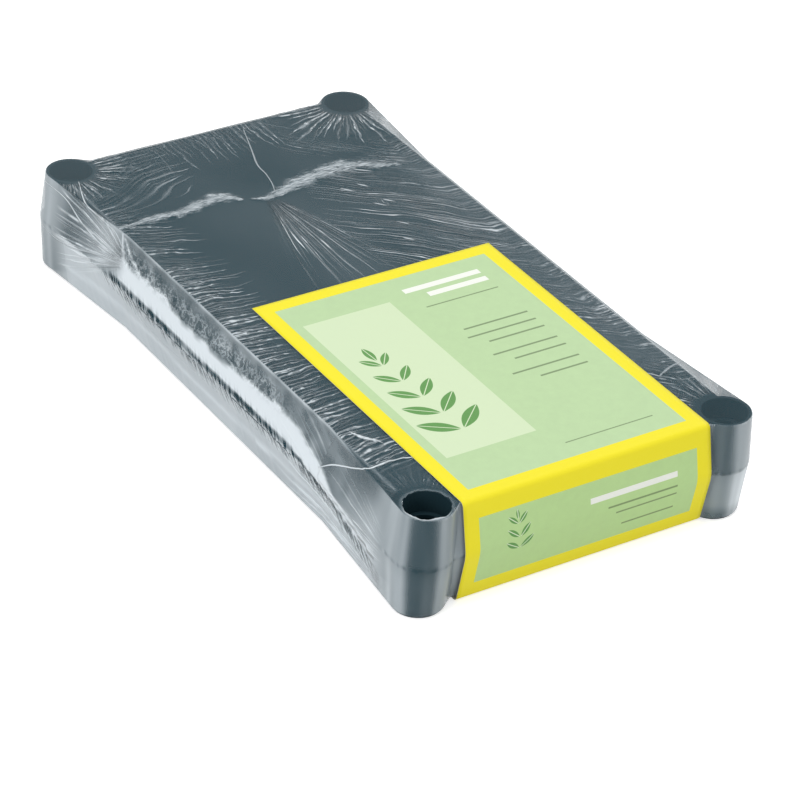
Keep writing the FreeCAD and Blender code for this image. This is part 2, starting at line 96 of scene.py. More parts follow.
class Ripple:
    """Smooth repeatable noise over two coordinates, which are in lattice cells."""

    CELLS = 256

    def __init__(self, seed: int) -> None:
        """Fills the lattice from the seed."""
        self.table = np.random.default_rng(seed).uniform(-1.0, 1.0, (self.CELLS, self.CELLS))

    def at(self, x: np.ndarray, y: np.ndarray) -> np.ndarray:
        """Reads the noise.

        Args:
            x: First coordinate.
            y: Second coordinate.

        Returns:
            Values from -1 to 1.
        """
        column, row = np.floor(x), np.floor(y)
        across, along = x - column, y - row
        across = across * across * (3.0 - 2.0 * across)
        along = along * along * (3.0 - 2.0 * along)
        left, low = column.astype(int) % self.CELLS, row.astype(int) % self.CELLS
        right, high = (left + 1) % self.CELLS, (low + 1) % self.CELLS
        near = self.table[left, low] * (1 - across) + self.table[right, low] * across
        far = self.table[left, high] * (1 - across) + self.table[right, high] * across
        return near * (1 - along) + far * along

    def crease(self, x: np.ndarray, y: np.ndarray, sharp: float = 3.0) -> np.ndarray:
        """Crests from 0 to 1 where the noise passes through zero, narrower where sharp is higher."""
        return np.clip(1.0 - sharp * np.abs(self.at(x, y)), 0.0, 1.0) ** 1.5


class Value:
    """A value in a shader. Sums with it add math nodes to its graph."""

    def __init__(self, graph: "Graph", socket: bpy.types.NodeSocket) -> None:
        """Keeps the graph and the output socket that carries the value."""
        self.graph, self.socket = graph, socket

    def __add__(self, other: "Feed") -> "Value":
        """This value plus another."""
        return self.graph.math("ADD", self, other)

    def __sub__(self, other: "Feed") -> "Value":
        """This value less another."""
        return self.graph.math("SUBTRACT", self, other)

    def __rsub__(self, other: float) -> "Value":
        """A number less this value."""
        return self.graph.math("SUBTRACT", other, self)

    def __mul__(self, other: "Feed") -> "Value":
        """This value times another."""
        return self.graph.math("MULTIPLY", self, other)

    def __truediv__(self, other: "Feed") -> "Value":
        """This value divided by another."""
        return self.graph.math("DIVIDE", self, other)

    def __abs__(self) -> "Value":
        """This value without its sign."""
        return self.graph.math("ABSOLUTE", self)

    def ramp(self, low: "Feed", high: "Feed", start: float = 0.0, end: float = 1.0) -> "Value":
        """Maps this value from low and high to start and end, and stays between them."""
        values = dict(enumerate((self, low, high, start, end)))
        return self.graph.fill(self.graph.node("MapRange", clamp=True), values)

    def spread(self, start: float, end: float) -> "Value":
        """Maps this value from 0 and 1 to start and end, and stays between them."""
        return self.ramp(0.0, 1.0, start, end)


Feed = float | Colour | Value


class Graph:
    """Adds shader nodes to one tree and joins them."""

    def __init__(self, tree: bpy.types.ShaderNodeTree) -> None:
        """Keeps the tree of a material, a world or a group."""
        self.tree = tree

    def node(self, kind: str, **settings: object) -> bpy.types.Node:
        """Adds a node.

        Args:
            kind: The node's type name, without its ShaderNode start.
            **settings: Properties of the node.

        Returns:
            The new node.
        """
        made = self.tree.nodes.new("ShaderNode" + kind)
        for name, value in settings.items():
            setattr(made, name, value)
        return made

    def feed(self, socket: bpy.types.NodeSocket, value: Feed) -> None:
        """Links a socket to a value of the graph, or sets it.

        Args:
            socket: The input socket.
            value: What goes into it.
        """
        if isinstance(value, Value):
            self.tree.links.new(value.socket, socket)
        elif isinstance(value, tuple) and socket.type == "RGBA":
            socket.default_value = (*value, 1.0)
        else:
            socket.default_value = value

    def fill(self, node: bpy.types.Node, values: dict[int | str, Feed], output: int | str = 0) -> Value:
        """Feeds several inputs of a node.

        Args:
            node: The node.
            values: What goes into each input, by its name or number.
            output: The output that is wanted.

        Returns:
            The value of that output.
        """
        for key, value in values.items():
            self.feed(node.inputs[key], value)
        return Value(self, node.outputs[output])

    def math(self, operation: str, *values: Feed, clamp: bool = False) -> Value:
        """Adds a math node, whose result may be kept from 0 to 1."""
        return self.fill(self.node("Math", operation=operation, use_clamp=clamp), dict(enumerate(values)))

    def highest(self, *values: Feed) -> Value:
        """Takes the highest of several values."""
        return reduce(lambda first, second: self.math("MAXIMUM", first, second), values)

    def blend(self, share: Feed, first: Feed, second: Feed) -> Value:
        """Mixes two colours, by the share of the second."""
        return self.fill(self.node("Mix", data_type="RGBA"), {0: share, 6: first, 7: second}, 2)

    def vector(self, x: Feed, y: Feed, z: Feed = 0.0) -> Value:
        """Joins three values into a vector."""
        return self.fill(self.node("CombineXYZ"), {0: x, 1: y, 2: z})

    def parts(self, vector: Value) -> tuple[Value, Value, Value]:
        """Splits a vector into its three values."""
        node = self.fill(self.node("SeparateXYZ"), {0: vector}).socket.node
        return tuple(Value(self, socket) for socket in node.outputs)

    def read(self, kind: str, output: str, **settings: object) -> Value:
        """Reads an output of a node that needs no input."""
        return Value(self, self.node(kind, **settings).outputs[output])

    def attribute(self, name: str) -> tuple[Value, Value, Value]:
        """Reads a vector that the mesh holds at each point, as three values."""
        return self.parts(self.read("Attribute", "Vector", attribute_name=name))

    def place(self) -> Value:
        """The point's place in the piece's own frame, in metres."""
        return self.read("TexCoord", "Object")

    def stretched(self, vector: Value, scale: Triple) -> Value:
        """Scales a place by its own factor along each axis."""
        return self.fill(self.node("VectorMath", operation="MULTIPLY"), {0: vector, 1: scale})

    def noise(self, vector: Value, scale: Feed, detail: float = 2.0, rough: float = 0.5) -> Value:
        """Noise around 0.5, with scale cells to the metre and detail finer layers of the strength rough."""
        values = {"Vector": vector, "Scale": scale, "Detail": detail, "Roughness": rough}
        return self.fill(self.node("TexNoise"), values, "Fac")

    def bump(self, height: Value, distance: float) -> Value:
        """Turns a height from 0 to 1 into the normal of a relief of that distance."""
        values = {"Height": height, "Distance": distance, "Strength": 1.0}
        return self.fill(self.node("Bump"), values, "Normal")

    def use(self, group: bpy.types.ShaderNodeTree, **values: Feed) -> dict[str, Value]:
        """Places a group.

        Args:
            group: The group's tree.
            **values: Its inputs by name, with an underscore for each space.

        Returns:
            The group's outputs by name.
        """
        node = self.node("Group", node_tree=group)
        self.fill(node, {key.replace("_", " "): value for key, value in values.items()})
        return {socket.name: Value(self, socket) for socket in node.outputs}


class Effects:
    """The node groups that several finishes share, each built once."""

    @staticmethod
    def group(name: str, inputs: dict[str, float]) -> tuple[Graph, dict[str, Value]]:
        """Starts a node group.

        Args:
            name: The group's name.
            inputs: The default of each input; Place is a vector.

        Returns:
            The graph, and its inputs by name.
        """
        graph = Graph(bpy.data.node_groups.new(name, "ShaderNodeTree"))
        for title, value in inputs.items():
            kind = "NodeSocketVector" if title == "Place" else "NodeSocketFloat"
            made = graph.tree.interface.new_socket(name=title, in_out="INPUT", socket_type=kind)
            if title != "Place":
                made.default_value = value
        sockets = graph.tree.nodes.new("NodeGroupInput").outputs
        return graph, {socket.name: Value(graph, socket) for socket in sockets}

    @staticmethod
    def done(graph: Graph, **outputs: Value) -> bpy.types.ShaderNodeTree:
        """Gives a node group its outputs, which are plain values.

        Args:
            graph: The group's graph.
            **outputs: What comes out, by name.

        Returns:
            The group's tree.
        """
        for title in outputs:
            graph.tree.interface.new_socket(name=title, in_out="OUTPUT", socket_type="NodeSocketFloat")
        sink = graph.tree.nodes.new("NodeGroupOutput")
        for title, value in outputs.items():
            graph.feed(sink.inputs[title], value)
        return graph.tree

    @cached_property
    def pleats(self) -> bpy.types.ShaderNodeTree:
        """Fine folds of film that run inward from an edge, each with its own place, length and brightness,
        with painted glints on their crests.

        Returns:
            The group\'s tree.
        """
        inputs = {"Across": 0.0, "Inward": 0.0, "Pitch": 7 * MM, "Length": 40 * MM, "Seed": 0.0}
        graph, given = self.group("film pleats", inputs)
        across, inward = given["Across"] / given["Pitch"], given["Inward"] / given["Length"]
        bend = graph.noise(graph.vector(across * 0.30, inward * 2.0, given["Seed"]), 1.0, 2.0)
        across = across + bend * 1.8
        lot = graph.node("TexWhiteNoise", noise_dimensions="2D")
        own = graph.vector(graph.math("FLOOR", across), given["Seed"])
        shift, span, shine = graph.parts(graph.fill(lot, {"Vector": own}, "Color"))
        away = abs(graph.math("FRACT", across) - shift.spread(0.34, 0.66))
        reach = span.spread(0.5, 1.35)
        tail = inward.ramp(reach, reach * 0.5) * inward.ramp(0.0, 0.05)
        line = away.ramp(shine.spread(0.16, 0.34) * tail, 0.0) * shine.spread(0.45, 1.0)
        finer = graph.noise(graph.vector(across * 0.8, inward * 7.0, given["Seed"]), 1.0, 1.0)
        glint = line * finer.ramp(0.52, 0.62) * shine.ramp(0.45, 0.85)
        hill = away.ramp(0.34, 0.0)
        return self.done(graph, Crest=line, Glint=glint, Height=hill * hill * tail)

    @cached_property
    def crumple(self) -> bpy.types.ShaderNodeTree:
        """Short crossing creases, as in film that has gathered to a seam.

        Returns:
            The group\'s tree.
        """
        graph, given = self.group("film crumple", {"Place": 0.0, "Scale": 160.0})
        coarse = graph.noise(given["Place"], given["Scale"], 3.0, 0.65)
        return self.done(graph, Crest=abs(coarse - 0.5).ramp(0.07, 0.0), Height=coarse)

    @cached_property
    def mould_grain(self) -> bpy.types.ShaderNodeTree:
        """Fine spark-eroded grain of a mould, with soft flow clouds.

        Returns:
            The group\'s tree.
        """
        graph, given = self.group("mould grain", {"Place": 0.0, "Grain": 900.0, "Clouds": 14.0})
        height = graph.noise(given["Place"], given["Grain"], 3.0, 0.6)
        cloud = graph.noise(given["Place"], given["Clouds"], 3.0, 0.55).ramp(0.3, 0.7)
        gloss = graph.noise(given["Place"], given["Clouds"] * 4.0, 2.0).ramp(0.35, 0.65)
        return self.done(graph, Height=height, Cloud=cloud, Gloss=gloss)

    @cached_property
    def rubs(self) -> bpy.types.ShaderNodeTree:
        """Sparse fine scratches from handling.

        Returns:
            The group\'s tree.
        """
        graph, given = self.group("handling rubs", {"Place": 0.0, "Density": 0.5})
        layers = [
            graph.noise(graph.stretched(given["Place"], scale), 1.0, 1.0).ramp(0.70, 0.78)
            for scale in ((60.0, 900.0, 200.0), (1100.0, 70.0, 300.0))
        ]
        patch = graph.noise(given["Place"], 25.0, 2.0)
        where = graph.math("GREATER_THAN", patch, 0.75 - given["Density"] * 0.4)
        return self.done(graph, Scratch=graph.highest(*layers) * where)

    @cached_property
    def card_fibre(self) -> bpy.types.ShaderNodeTree:
        """Fibres and faint mottling of a coated card.

        Returns:
            The group\'s tree.
        """
        graph, given = self.group("card fibre", {"Place": 0.0})
        fibres = graph.noise(graph.stretched(given["Place"], (500.0, 1500.0, 900.0)), 1.0, 3.0, 0.6)
        mottle = graph.noise(given["Place"], 120.0, 3.0, 0.6).ramp(0.3, 0.7)
        return self.done(graph, Height=fibres, Mottle=mottle)

    @cached_property
    def printed_block(self) -> bpy.types.ShaderNodeTree:
        """A printed rectangle with clean edges.

        Returns:
            The group\'s tree.
        """
        inputs = {"U": 0.0, "V": 0.0, "Middle U": 0.0, "Middle V": 0.0, "Half U": 0.01, "Half V": 0.01}
        graph, given = self.group("printed block", inputs)
        inside = [given[f"Half {axis}"] - abs(given[axis] - given[f"Middle {axis}"]) for axis in "UV"]
        return self.done(graph, Mask=graph.math("MINIMUM", *(side.ramp(*INK_EDGE) for side in inside)))

    @cached_property
    def printed_leaf(self) -> bpy.types.ShaderNodeTree:
        """A printed pointed leaf with a pale midrib, turned about its own middle.

        Returns:
            The group\'s tree.
        """
        inputs = dict.fromkeys(("U", "V", "Middle U", "Middle V", "Turn"), 0.0) | {"Half": 0.01, "Slim": 0.35}
        graph, given = self.group("printed leaf", inputs)
        u, v = (given[axis] - given[f"Middle {axis}"] for axis in "UV")
        cosine, sine = graph.math("COSINE", given["Turn"]), graph.math("SINE", given["Turn"])
        share, away = (u * cosine + v * sine) / given["Half"], abs(v * cosine - u * sine)
        wide = given["Half"] * given["Slim"] * (1.0 - share * share)
        mask = (wide - away).ramp(*INK_EDGE)
        return self.done(graph, Mask=mask, Rib=mask * away.ramp(0.45 * MM, 0.25 * MM))


EFFECTS = Effects()


@dataclass(frozen=True)
class Finish:
    """A plain moulded or drawn finish.

    Attributes:
        name: The material's name.
        colour: Its main colour.
        tint: The colour in its clouds.
        rough: Its roughness.
        metal: Whether it is bare metal.
        grain: Cells of surface grain to the metre.
        relief: Height of the grain in metres.
        shine: Strength of its gloss, where 0.5 is common plastic.
    """

    name: str
    colour: Colour
    tint: Colour
    rough: float = 0.5
    metal: float = 0.0
    grain: float = 900.0
    relief: float = 0.003 * MM
    shine: float = 0.18

    def surface(self, graph: Graph, place: Value) -> tuple[Value, Value, Value]:
        """Works out what varies over the surface.

        Args:
            graph: The material's graph.
            place: The place that is looked at.

        Returns:
            The colour, the roughness and the height of the grain.
        """
        grain = graph.use(EFFECTS.mould_grain, Place=place, Grain=self.grain)
        rubs = graph.use(EFFECTS.rubs, Place=place, Density=0.4)["Scratch"]
        colour = graph.blend(grain["Cloud"], self.colour, self.tint)
        paler = tuple(min(1.0, part * 1.8 + 0.02) for part in self.colour)
        colour = graph.blend(rubs * 0.35, colour, paler)
        rough = grain["Gloss"].spread(self.rough - 0.06, self.rough + 0.06)
        return colour, rough, grain["Height"] - rubs * 0.5

    def material(self) -> bpy.types.Material:
        """Builds the material.

        Returns:
            The new material.
        """
        made, graph, shader = new_material(self.name)
        colour, rough, height = self.surface(graph, graph.place())
        shader.inputs["Metallic"].default_value = self.metal
        shader.inputs["Specular IOR Level"].default_value = self.shine
        normal = graph.bump(height, self.relief)
        graph.fill(shader, {"Base Color": colour, "Roughness": rough, "Normal": normal})
        return made


@dataclass(frozen=True)
class DrawnTube(Finish):
    """A tube's finish, with fine lines along the way it was drawn.

    Attributes:
        lines: Lines to the metre round the tube.
    """

    lines: float = 1400.0

    def surface(self, graph: Graph, place: Value) -> tuple[Value, Value, Value]:
        """Adds the drawn lines to the plain finish.

        Args:
            graph: The material's graph.
            place: The place that is looked at.

        Returns:
            The colour, the roughness and the height.
        """
        colour, rough, height = super().surface(graph, place)
        drawn = graph.noise(graph.stretched(place, (12.0, self.lines, self.lines)), 1.0, 2.0)
        return colour, rough, height + drawn


@dataclass(frozen=True)
class Threaded(Finish):
    """A screw's or plug's finish, with rings along part of it.

    Attributes:
        pitch: Distance between rings.
        start: Where the rings start along X.
    """

    pitch: float = 1.8 * MM
    start: float = -0.2

    def surface(self, graph: Graph, place: Value) -> tuple[Value, Value, Value]:
        """Adds the rings to the plain finish.

        Args:
            graph: The material's graph.
            place: The place that is looked at.

        Returns:
            The colour, the roughness and the height.
        """
        colour, rough, height = super().surface(graph, place)
        along = graph.parts(place)[0]
        wave = abs(graph.math("FRACT", along / self.pitch) - 0.5)
        ring = wave * 2.0 * graph.math("GREATER_THAN", along, self.start)
        return graph.blend(ring * 0.4, colour, self.tint), rough, height * 0.2 + ring * 8.0


def new_material(name: str) -> tuple[bpy.types.Material, Graph, bpy.types.Node]:
    """Starts a material with one Principled shader.

    Args:
        name: The material's name.

    Returns:
        The material, its graph and its shader.
    """
    made = bpy.data.materials.new(name)
    made.use_nodes = True
    shader = next(node for node in made.node_tree.nodes if node.type == "BSDF_PRINCIPLED")
    return made, Graph(made.node_tree), shader


def new_piece(name: str, points: np.ndarray, faces: list, body: Body) -> bpy.types.Object:
    """Makes a smooth mesh piece that rides on a body.

    Args:
        name: The piece's name.
        points: Its points, three numbers each.
        faces: The corners of each face.
        body: The body it moves with.

    Returns:
        The new object.
    """
    mesh = bpy.data.meshes.new(name)
    mesh.from_pydata([tuple(point) for point in points], [], faces)
    mesh.polygons.foreach_set("use_smooth", [True] * len(mesh.polygons))
    mesh.update()
    piece = bpy.data.objects.new(name, mesh)
    bpy.context.scene.collection.objects.link(piece)
    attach(piece, body.value)
    return piece


# Distance, in half widths, that stands for a point that no line comes near
FAR_AWAY = 9.0


@dataclass(frozen=True)
class Seam:
    """A line along which the film has gathered or folded; on some folds the line is a painted highlight.

    Attributes:
        corners: The x and y of each corner of the line, and half the width of its strip, in millimetres.
        cloud: How white it is.
        rise: Height of its ridge.
    """

    corners: tuple[Triple, ...]
    cloud: float = 0.0
    rise: float = 0.0

    def weigh(self, x: np.ndarray, y: np.ndarray) -> np.ndarray:
        """How near each point is to the line: 1 on it, and falling to 0 past the strip's edge."""
        return np.exp(-(self.sides(x, y, 8)[0] ** 2))

    def sides(self, x: np.ndarray, y: np.ndarray, steps: int = 6) -> tuple[np.ndarray, np.ndarray]:
        """Measures the points across the line, so that a line finer than the mesh stays whole.

        Args:
            x: The points' x.
            y: The points' y.
            steps: Steps of the curve for each corner.

        Returns:
            The distance in half widths, less than 0 on the line's right, and 1 beside the line or 0 past it.
        """
        across, beside = np.full_like(x, FAR_AWAY), np.zeros_like(x)
        shares = np.linspace(0.0, len(self.corners) - 1.0, steps * len(self.corners))
        line = [self.bend(share) for share in shares]
        for number, ((x0, y0, wide0), (x1, y1, wide1)) in enumerate(pairwise(line)):
            run_x, run_y = x1 - x0, y1 - y0
            free = ((x - x0) * run_x + (y - y0) * run_y) / (run_x**2 + run_y**2)
            share = np.clip(free, 0.0, 1.0)
            away = np.hypot(x - x0 - share * run_x, y - y0 - share * run_y)
            away /= wide0 + share * (wide1 - wide0)
            side = np.where(run_x * (y - y0) - run_y * (x - x0) < 0, -1.0, 1.0)
            nearer = away < np.abs(across)
            across = np.where(nearer, side * away, across)
            past = (number == 0) * (free < 0) + (number == len(line) - 2) * (free > 1)
            beside = np.where(nearer, 1.0 - past, beside)
        return across, beside

    def bend(self, share: float) -> np.ndarray:
        """Reads a smooth curve through the corners.

        Args:
            share: How far along, in corners.

        Returns:
            The curve's point and width there.
        """
        corners = np.array(self.corners) * MM
        first = min(int(share), len(corners) - 2)
        part = share - first
        before, after = max(first - 1, 0), min(first + 2, len(corners) - 1)
        a, b, c, d = corners[[before, first, first + 1, after]]
        bent = (2 * a - 5 * b + 4 * c - d) * part**2 + (3 * b - a - 3 * c + d) * part**3
        return b + 0.5 * ((c - a) * part + bent)


# Heights of the film's outlines down its walls in millimetres, and their shares from the bottom's middle
UPPER_RINGS = (86.4, 85.2, *range(83, 55, -3), 53.5, 51.2, 49.2, 47.4)
LOWER_RINGS = (44.6, 42.8, 40.8, 38.4, 35.6, 32.4, 29.0, 25.4, 21.6, 17.6, 13.6, 9.8, 6.4, 3.8, 2.6)
BOTTOM_SHARES = (0.96, 0.88, 0.75, 0.5, 0.25, 0.0)

FILM_SEAMS = (
    Seam(
        (
            (-171.5, -148, 2.6), (-174.1, -121.1, 3.4), (-173.8, -102.3, 4.2), (-172.2, -84.3, 4.6),
            (-177.1, -67, 6), (-180.6, -50.5, 7), (-178, -40, 5.6), (-169, -31, 1.4),
        ),
        0.75,
        1.2 * MM,
    ),
    Seam(
        (
            (-165, -22, 1.4), (-161.2, -11, 3.2), (-163.2, -2, 4.6), (-169, 16, 6.4), (-175, 37.1, 8.2),
            (-178, 61.2, 9.2), (-177.5, 81.9, 8.2), (-169, 99.7, 5), (-160, 118, 2.2),
        ),
        0.75,
        1.2 * MM,
    ),
    Seam(((-278, 33, 2), (-240, 18, 2), (-192, 8, 2), (-165, -2, 2)), rise=0.4 * MM),
    Seam(((219, -146, 2), (219, -130, 2.2), (221, -109, 1.4)), rise=0.9 * MM),
    Seam(((173, -133, 1.2), (183, -128, 2.6), (194, -120, 1.2)), rise=0.8 * MM),
)

# Thin white folds, and painted highlights: the bright fold and the lens-shaped glint beside the burst socket,
# and the short glints at the end. Their y on the deck runs on down the wall at its -Y side
FILM_LINES = tuple(
    Seam(tuple(corners), cloud)
    for cloud, *corners in (
        (
            0.62, (-273, 31, 0.5), (-241, 20, 0.8), (-215, 11, 0.9), (-196, 9, 0.7), (-179, 5, 0.7),
            (-167, 0, 0.4),
        ),
        (
            1.0, (222, -108, 0.5), (219.5, -120, 1.2), (219, -134, 1.3), (218, -147.5, 0.9),
            (203.2, -155.6, 0.8), (188, -161.5, 0.9), (172.6, -167.5, 0.9), (157, -177, 0.4),
        ),
        (1.0, (171, -134, 0.3), (180, -130.3, 1.9), (186, -125.7, 2.2), (195, -119, 0.3)),
        (
            0.9, (-286, -162.1, 0.5), (-249, -159.4, 0.9), (-222, -167, 1.2), (-186, -169.1, 1.3),
            (-160, -164.5, 0.8),
        ),
        (
            0.9, (-258, -136, 0.4), (-222.8, -148, 0.9), (-198.8, -148.5, 1.2), (-174.5, -149.4, 1.2),
            (-161.2, -158.9, 0.7),
        ),
        (
            0.75, (-291, -202, 0.4), (-259, -201.9, 0.8), (-226.5, -191.9, 1), (-190.5, -176.6, 1.1),
            (-160, -165.5, 0.8),
        ),
        (
            0.6, (216.8, 118, 0.6), (213.2, 125.8, 1.3), (210, 132.5, 1.4), (208.4, 138.1, 1.1),
            (207, 144.7, 0.6),
        ),
        # Short painted glints at the ends of pleats
        *(
            (0.85, (x - 4.2, y - 3.6, 0.3), (x, y, 1.1), (x + 4.2, y + 3.6, 0.3))
            for x, y in ((-143, 56), (-144, 72), (-112.5, 78), (-110, 68.5), (-75.5, 69), (-51, 59))
        ),
    )
)

# White gathers of the near long wall, by x and z
WALL_SEAMS = (
    Seam(((-166, 86, 2.2), (-164, 76, 3), (-158, 67, 3.4)), 0.95),
    Seam(((-163, 84, 1.8), (-150, 74, 2.2), (-128, 66, 2.4)), 0.85),
    Seam(((60, 18, 2.4), (130, 14, 2.6), (200, 9, 2.4), (252, 6, 1.8)), 0.95),
)

# Direction, round the pack, in which the tautest film of the columns faces; the columns' dark stripe of
# painted reflection and the torn rim's painted highlight face it too
TAUT_AND_REFLECTION_SIDE = math.radians(-34.0)

# Distance from a column's axis within which the walls' film follows the column
HUG = 26 * MM

# Where along the long walls the film turns from pale to mottled, at their -X end
MOTTLED_FROM = (-0.178, -0.150)


@dataclass(frozen=True)
class Fan:
    """Pleats that spread from a point.

    Attributes:
        x: The point's x.
        second: Its y over the deck, or its height on the near long wall.
        spread: Distance across the pleats for each radian.
        stretch: How slowly its pleats fade outward.
        near: Where it starts.
        far: Where it ends.
        wide: Half its opening, in radians.
        share: How much its pleats show.
        above: Height over the gathered line from which it shows.
    """

    x: float
    second: float
    spread: float
    stretch: float
    near: float
    far: float
    wide: float
    share: float
    above: float = -1.0


DECK_FAN = Fan(-0.176, -0.008, 0.13, 0.26, 0.012, 0.180, 0.36, 0.9)
WALL_FANS = (
    Fan(-0.146, 0.066, 0.075, 0.30, 0.008, 0.160, 0.60, 0.75),
    Fan(0.268, 0.010, 0.090, 0.22, 0.006, 0.190, 0.66, 0.5),
    Fan(0.310, 0.040, 0.100, 0.30, 0.030, 0.150, 0.40, 0.5, 8 * MM),
)


@dataclass
class ShrinkFilm:
    """The clear film round both tiers, taut over the columns and wrinkled between them.

    Attributes:
        deck: Half length and half width of the film over the deck.
        rim: The same round the two rims.
        column: Radius over a socket column at the deck and at the rim.
        pitch: Place of the socket columns.
        shift: How far the upper tier lies from the pack's centre.
        reach: How far from a column the film meets the long wall.
        leave: Angle at which it leaves a column towards the end wall.
        heights: Height of the film below, at the rims and above.
        fold: Radius of its folds at the deck's edge.
        tear: Radius of the hole where it has burst over one socket.
        boss: Radius of the holes round the bosses below.
        lay_flat: Size of the closed bag of film before it was shrunk; not used.
        counts: Steps of a quarter's outline: half the end, to a column, round it, off it, and half the side.
    """

    deck: Pair = (286.9 * MM, 143.7 * MM)
    rim: Pair = (296.76 * MM, 154.06 * MM)
    column: Pair = (21.2 * MM, 24.46 * MM)
    pitch: Pair = (278.0 * MM, 134.5 * MM)
    shift: Pair = (0.75 * MM, 1.25 * MM)
    reach: float = 120.0 * MM
    leave: float = math.radians(38.0)
    heights: Triple = (1.6 * MM, 46.0 * MM, 87.4 * MM)
    fold: float = 0.9 * MM
    tear: float = 18.4 * MM
    boss: float = 19.8 * MM
    lay_flat: Pair = (0.40, 0.85)
    counts: tuple[int, ...] = (52, 9, 28, 70, 92)

    def quarter(self, half: Pair, column: float) -> np.ndarray:
        """Outline of one quarter, from the middle of the end to the middle of the side.

        Args:
            half: Half length and half width of the outline.
            column: Radius round the column.

        Returns:
            The outline's points.
        """
        centre = np.array(self.pitch)
        sine, cosine = math.sin(self.leave), math.cos(self.leave)
        off = centre + column * np.array([cosine, -sine])
        on_end = off - (off[0] - half[0]) / sine * np.array([sine, cosine])
        on_side = np.array([self.pitch[0] - self.reach, half[1]])
        gap = centre - on_side
        lean = math.atan2(gap[1], gap[0]) + math.asin(column / math.hypot(*gap))
        turns = np.linspace(-self.leave, math.pi / 2 + lean, self.counts[2] + 1)
        arc = centre + column * np.stack([np.cos(turns), np.sin(turns)], axis=1)
        corners = [(half[0], 0.0), on_end, off, arc[-1], on_side, (0.0, half[1])]
        runs = [straight(*ends, count)[:-1] for ends, count in zip(pairwise(corners), self.counts)]
        runs[2] = arc[:-1]
        return np.concatenate([*runs, corners[-1:]])

    def loop(self, half: Pair, column: float, side: float) -> np.ndarray:
        """The whole outline, anticlockwise from the middle of the +X end.

        Args:
            half: Half length and half width of the outline.
            column: Radius round the columns.
            side: 1 for the upper tier's shift, -1 for the lower one's and 0 for the rim.

        Returns:
            The outline's points.
        """
        line = self.quarter(half, column)
        quarters = (line[:-1], (line * (-1, 1))[:0:-1], -line[:-1], (line * (1, -1))[:0:-1])
        return np.concatenate(quarters) + side * np.array(self.shift)

    def level(self, height: float, inset: float = 0.0) -> np.ndarray:
        """The film's outline at a height.

        Args:
            height: The height.
            inset: How far inside the outline it is.

        Returns:
            The points, three numbers each.
        """
        low, rim, high = self.heights
        side = 1.0 if height > rim else -1.0
        share = (height - rim) / ((high if height > rim else low) - rim)
        near = self.loop(tuple(size - inset for size in self.deck), self.column[0] - inset, side)
        line = self.loop(self.rim, self.column[1], 0.0) * (1 - share) + near * share
        return np.column_stack([line, np.full(len(line), height)])

    def top(self) -> tuple[np.ndarray, np.ndarray, list]:
        """The sheet over the deck, as a grid that follows its outline.

        Returns:
            The grid's points, the number of the grid point at each point of the outline, and the faces.
        """
        edge = self.level(self.heights[2], self.fold)
        count, corner = len(edge), sum(self.counts[:2]) + self.counts[2] // 2
        left, front_left = count // 2 - corner, count // 2 + corner
        long_side, short_side = np.arange(left - corner + 1), np.arange(2 * corner + 1)
        east = (short_side - corner) % count
        numbers = (front_left + long_side, left - long_side, front_left - short_side, east)
        front, back, west, east = (edge[part] for part in numbers)
        u = (long_side / long_side[-1])[:, None, None]
        v = (short_side / short_side[-1])[None, :, None]
        flat = (1 - v) * front[:, None] + v * back[:, None] + (1 - u) * west[None] + u * east[None]
        flat -= (1 - v) * ((1 - u) * front[0] + u * front[-1]) + v * ((1 - u) * back[0] + u * back[-1])
        names = np.arange(flat[..., 0].size).reshape(flat.shape[:2])
        rim = np.empty(count, int)
        for part, side in zip(numbers, (names[:, 0], names[:, -1], names[0], names[-1])):
            rim[part] = side
        return flat.reshape(-1, 3), rim, grid_faces(names)

    def rings(self) -> list[np.ndarray]:
        """The film's outlines from under the deck's edge down to the fold below, and then across the bottom.

        Returns:
            The outlines' points.
        """
        low, rim, high = self.heights
        corner = 0.28 * self.fold
        made = [self.level(high - corner, corner)]
        made += [self.level(height * MM) for height in (*UPPER_RINGS, rim / MM, *LOWER_RINGS)]
        made += [self.level(low + corner, corner), self.level(low, 1.4 * MM)]
        edge = made[-1]
        spine = edge * (1, 0, 1)
        spine[:, 0] = np.clip(edge[:, 0], -self.deck[0] + self.deck[1], self.deck[0] - self.deck[1])
        return made + [spine + (edge - spine) * share for share in BOTTOM_SHARES]

    def build(self) -> bpy.types.Object:
        """Builds the film and dresses it.

        Returns:
            The film's piece.
        """
        points, edge, faces = self.top()
        rings = self.rings()
        names = np.vstack([edge, len(points) + np.arange(len(rings) * len(edge)).reshape(len(rings), -1)])
        faces += grid_faces(np.column_stack([names, names[:, 0]]))
        level = np.concatenate([np.full(len(points), -1), np.repeat(np.arange(len(rings)), len(edge))])
        fields = FilmFields(self, np.concatenate([points, *rings]), level, len(rings))
        faces = fields.open_holes(faces)
        piece = new_piece("shrink_film_wrap", fields.relief(), faces, Body.PACK)
        fields.write(piece.data)
        self.clean(piece.data)
        piece.data.materials.append(FilmFinish().material())
        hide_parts("shrink_film")
        return piece

    @staticmethod
    def clean(mesh: bpy.types.Mesh) -> None:
        """Joins the points that meet along the bottom's middle and drops what no face uses.

        Args:
            mesh: The film's mesh.
        """
        work = bmesh.new()
        work.from_mesh(mesh)
        bmesh.ops.remove_doubles(work, verts=work.verts, dist=0.002 * MM)
        loose = [vert for vert in work.verts if not vert.link_faces]
        bmesh.ops.delete(work, geom=loose, context="VERTS")
        work.to_mesh(mesh)
        work.free()


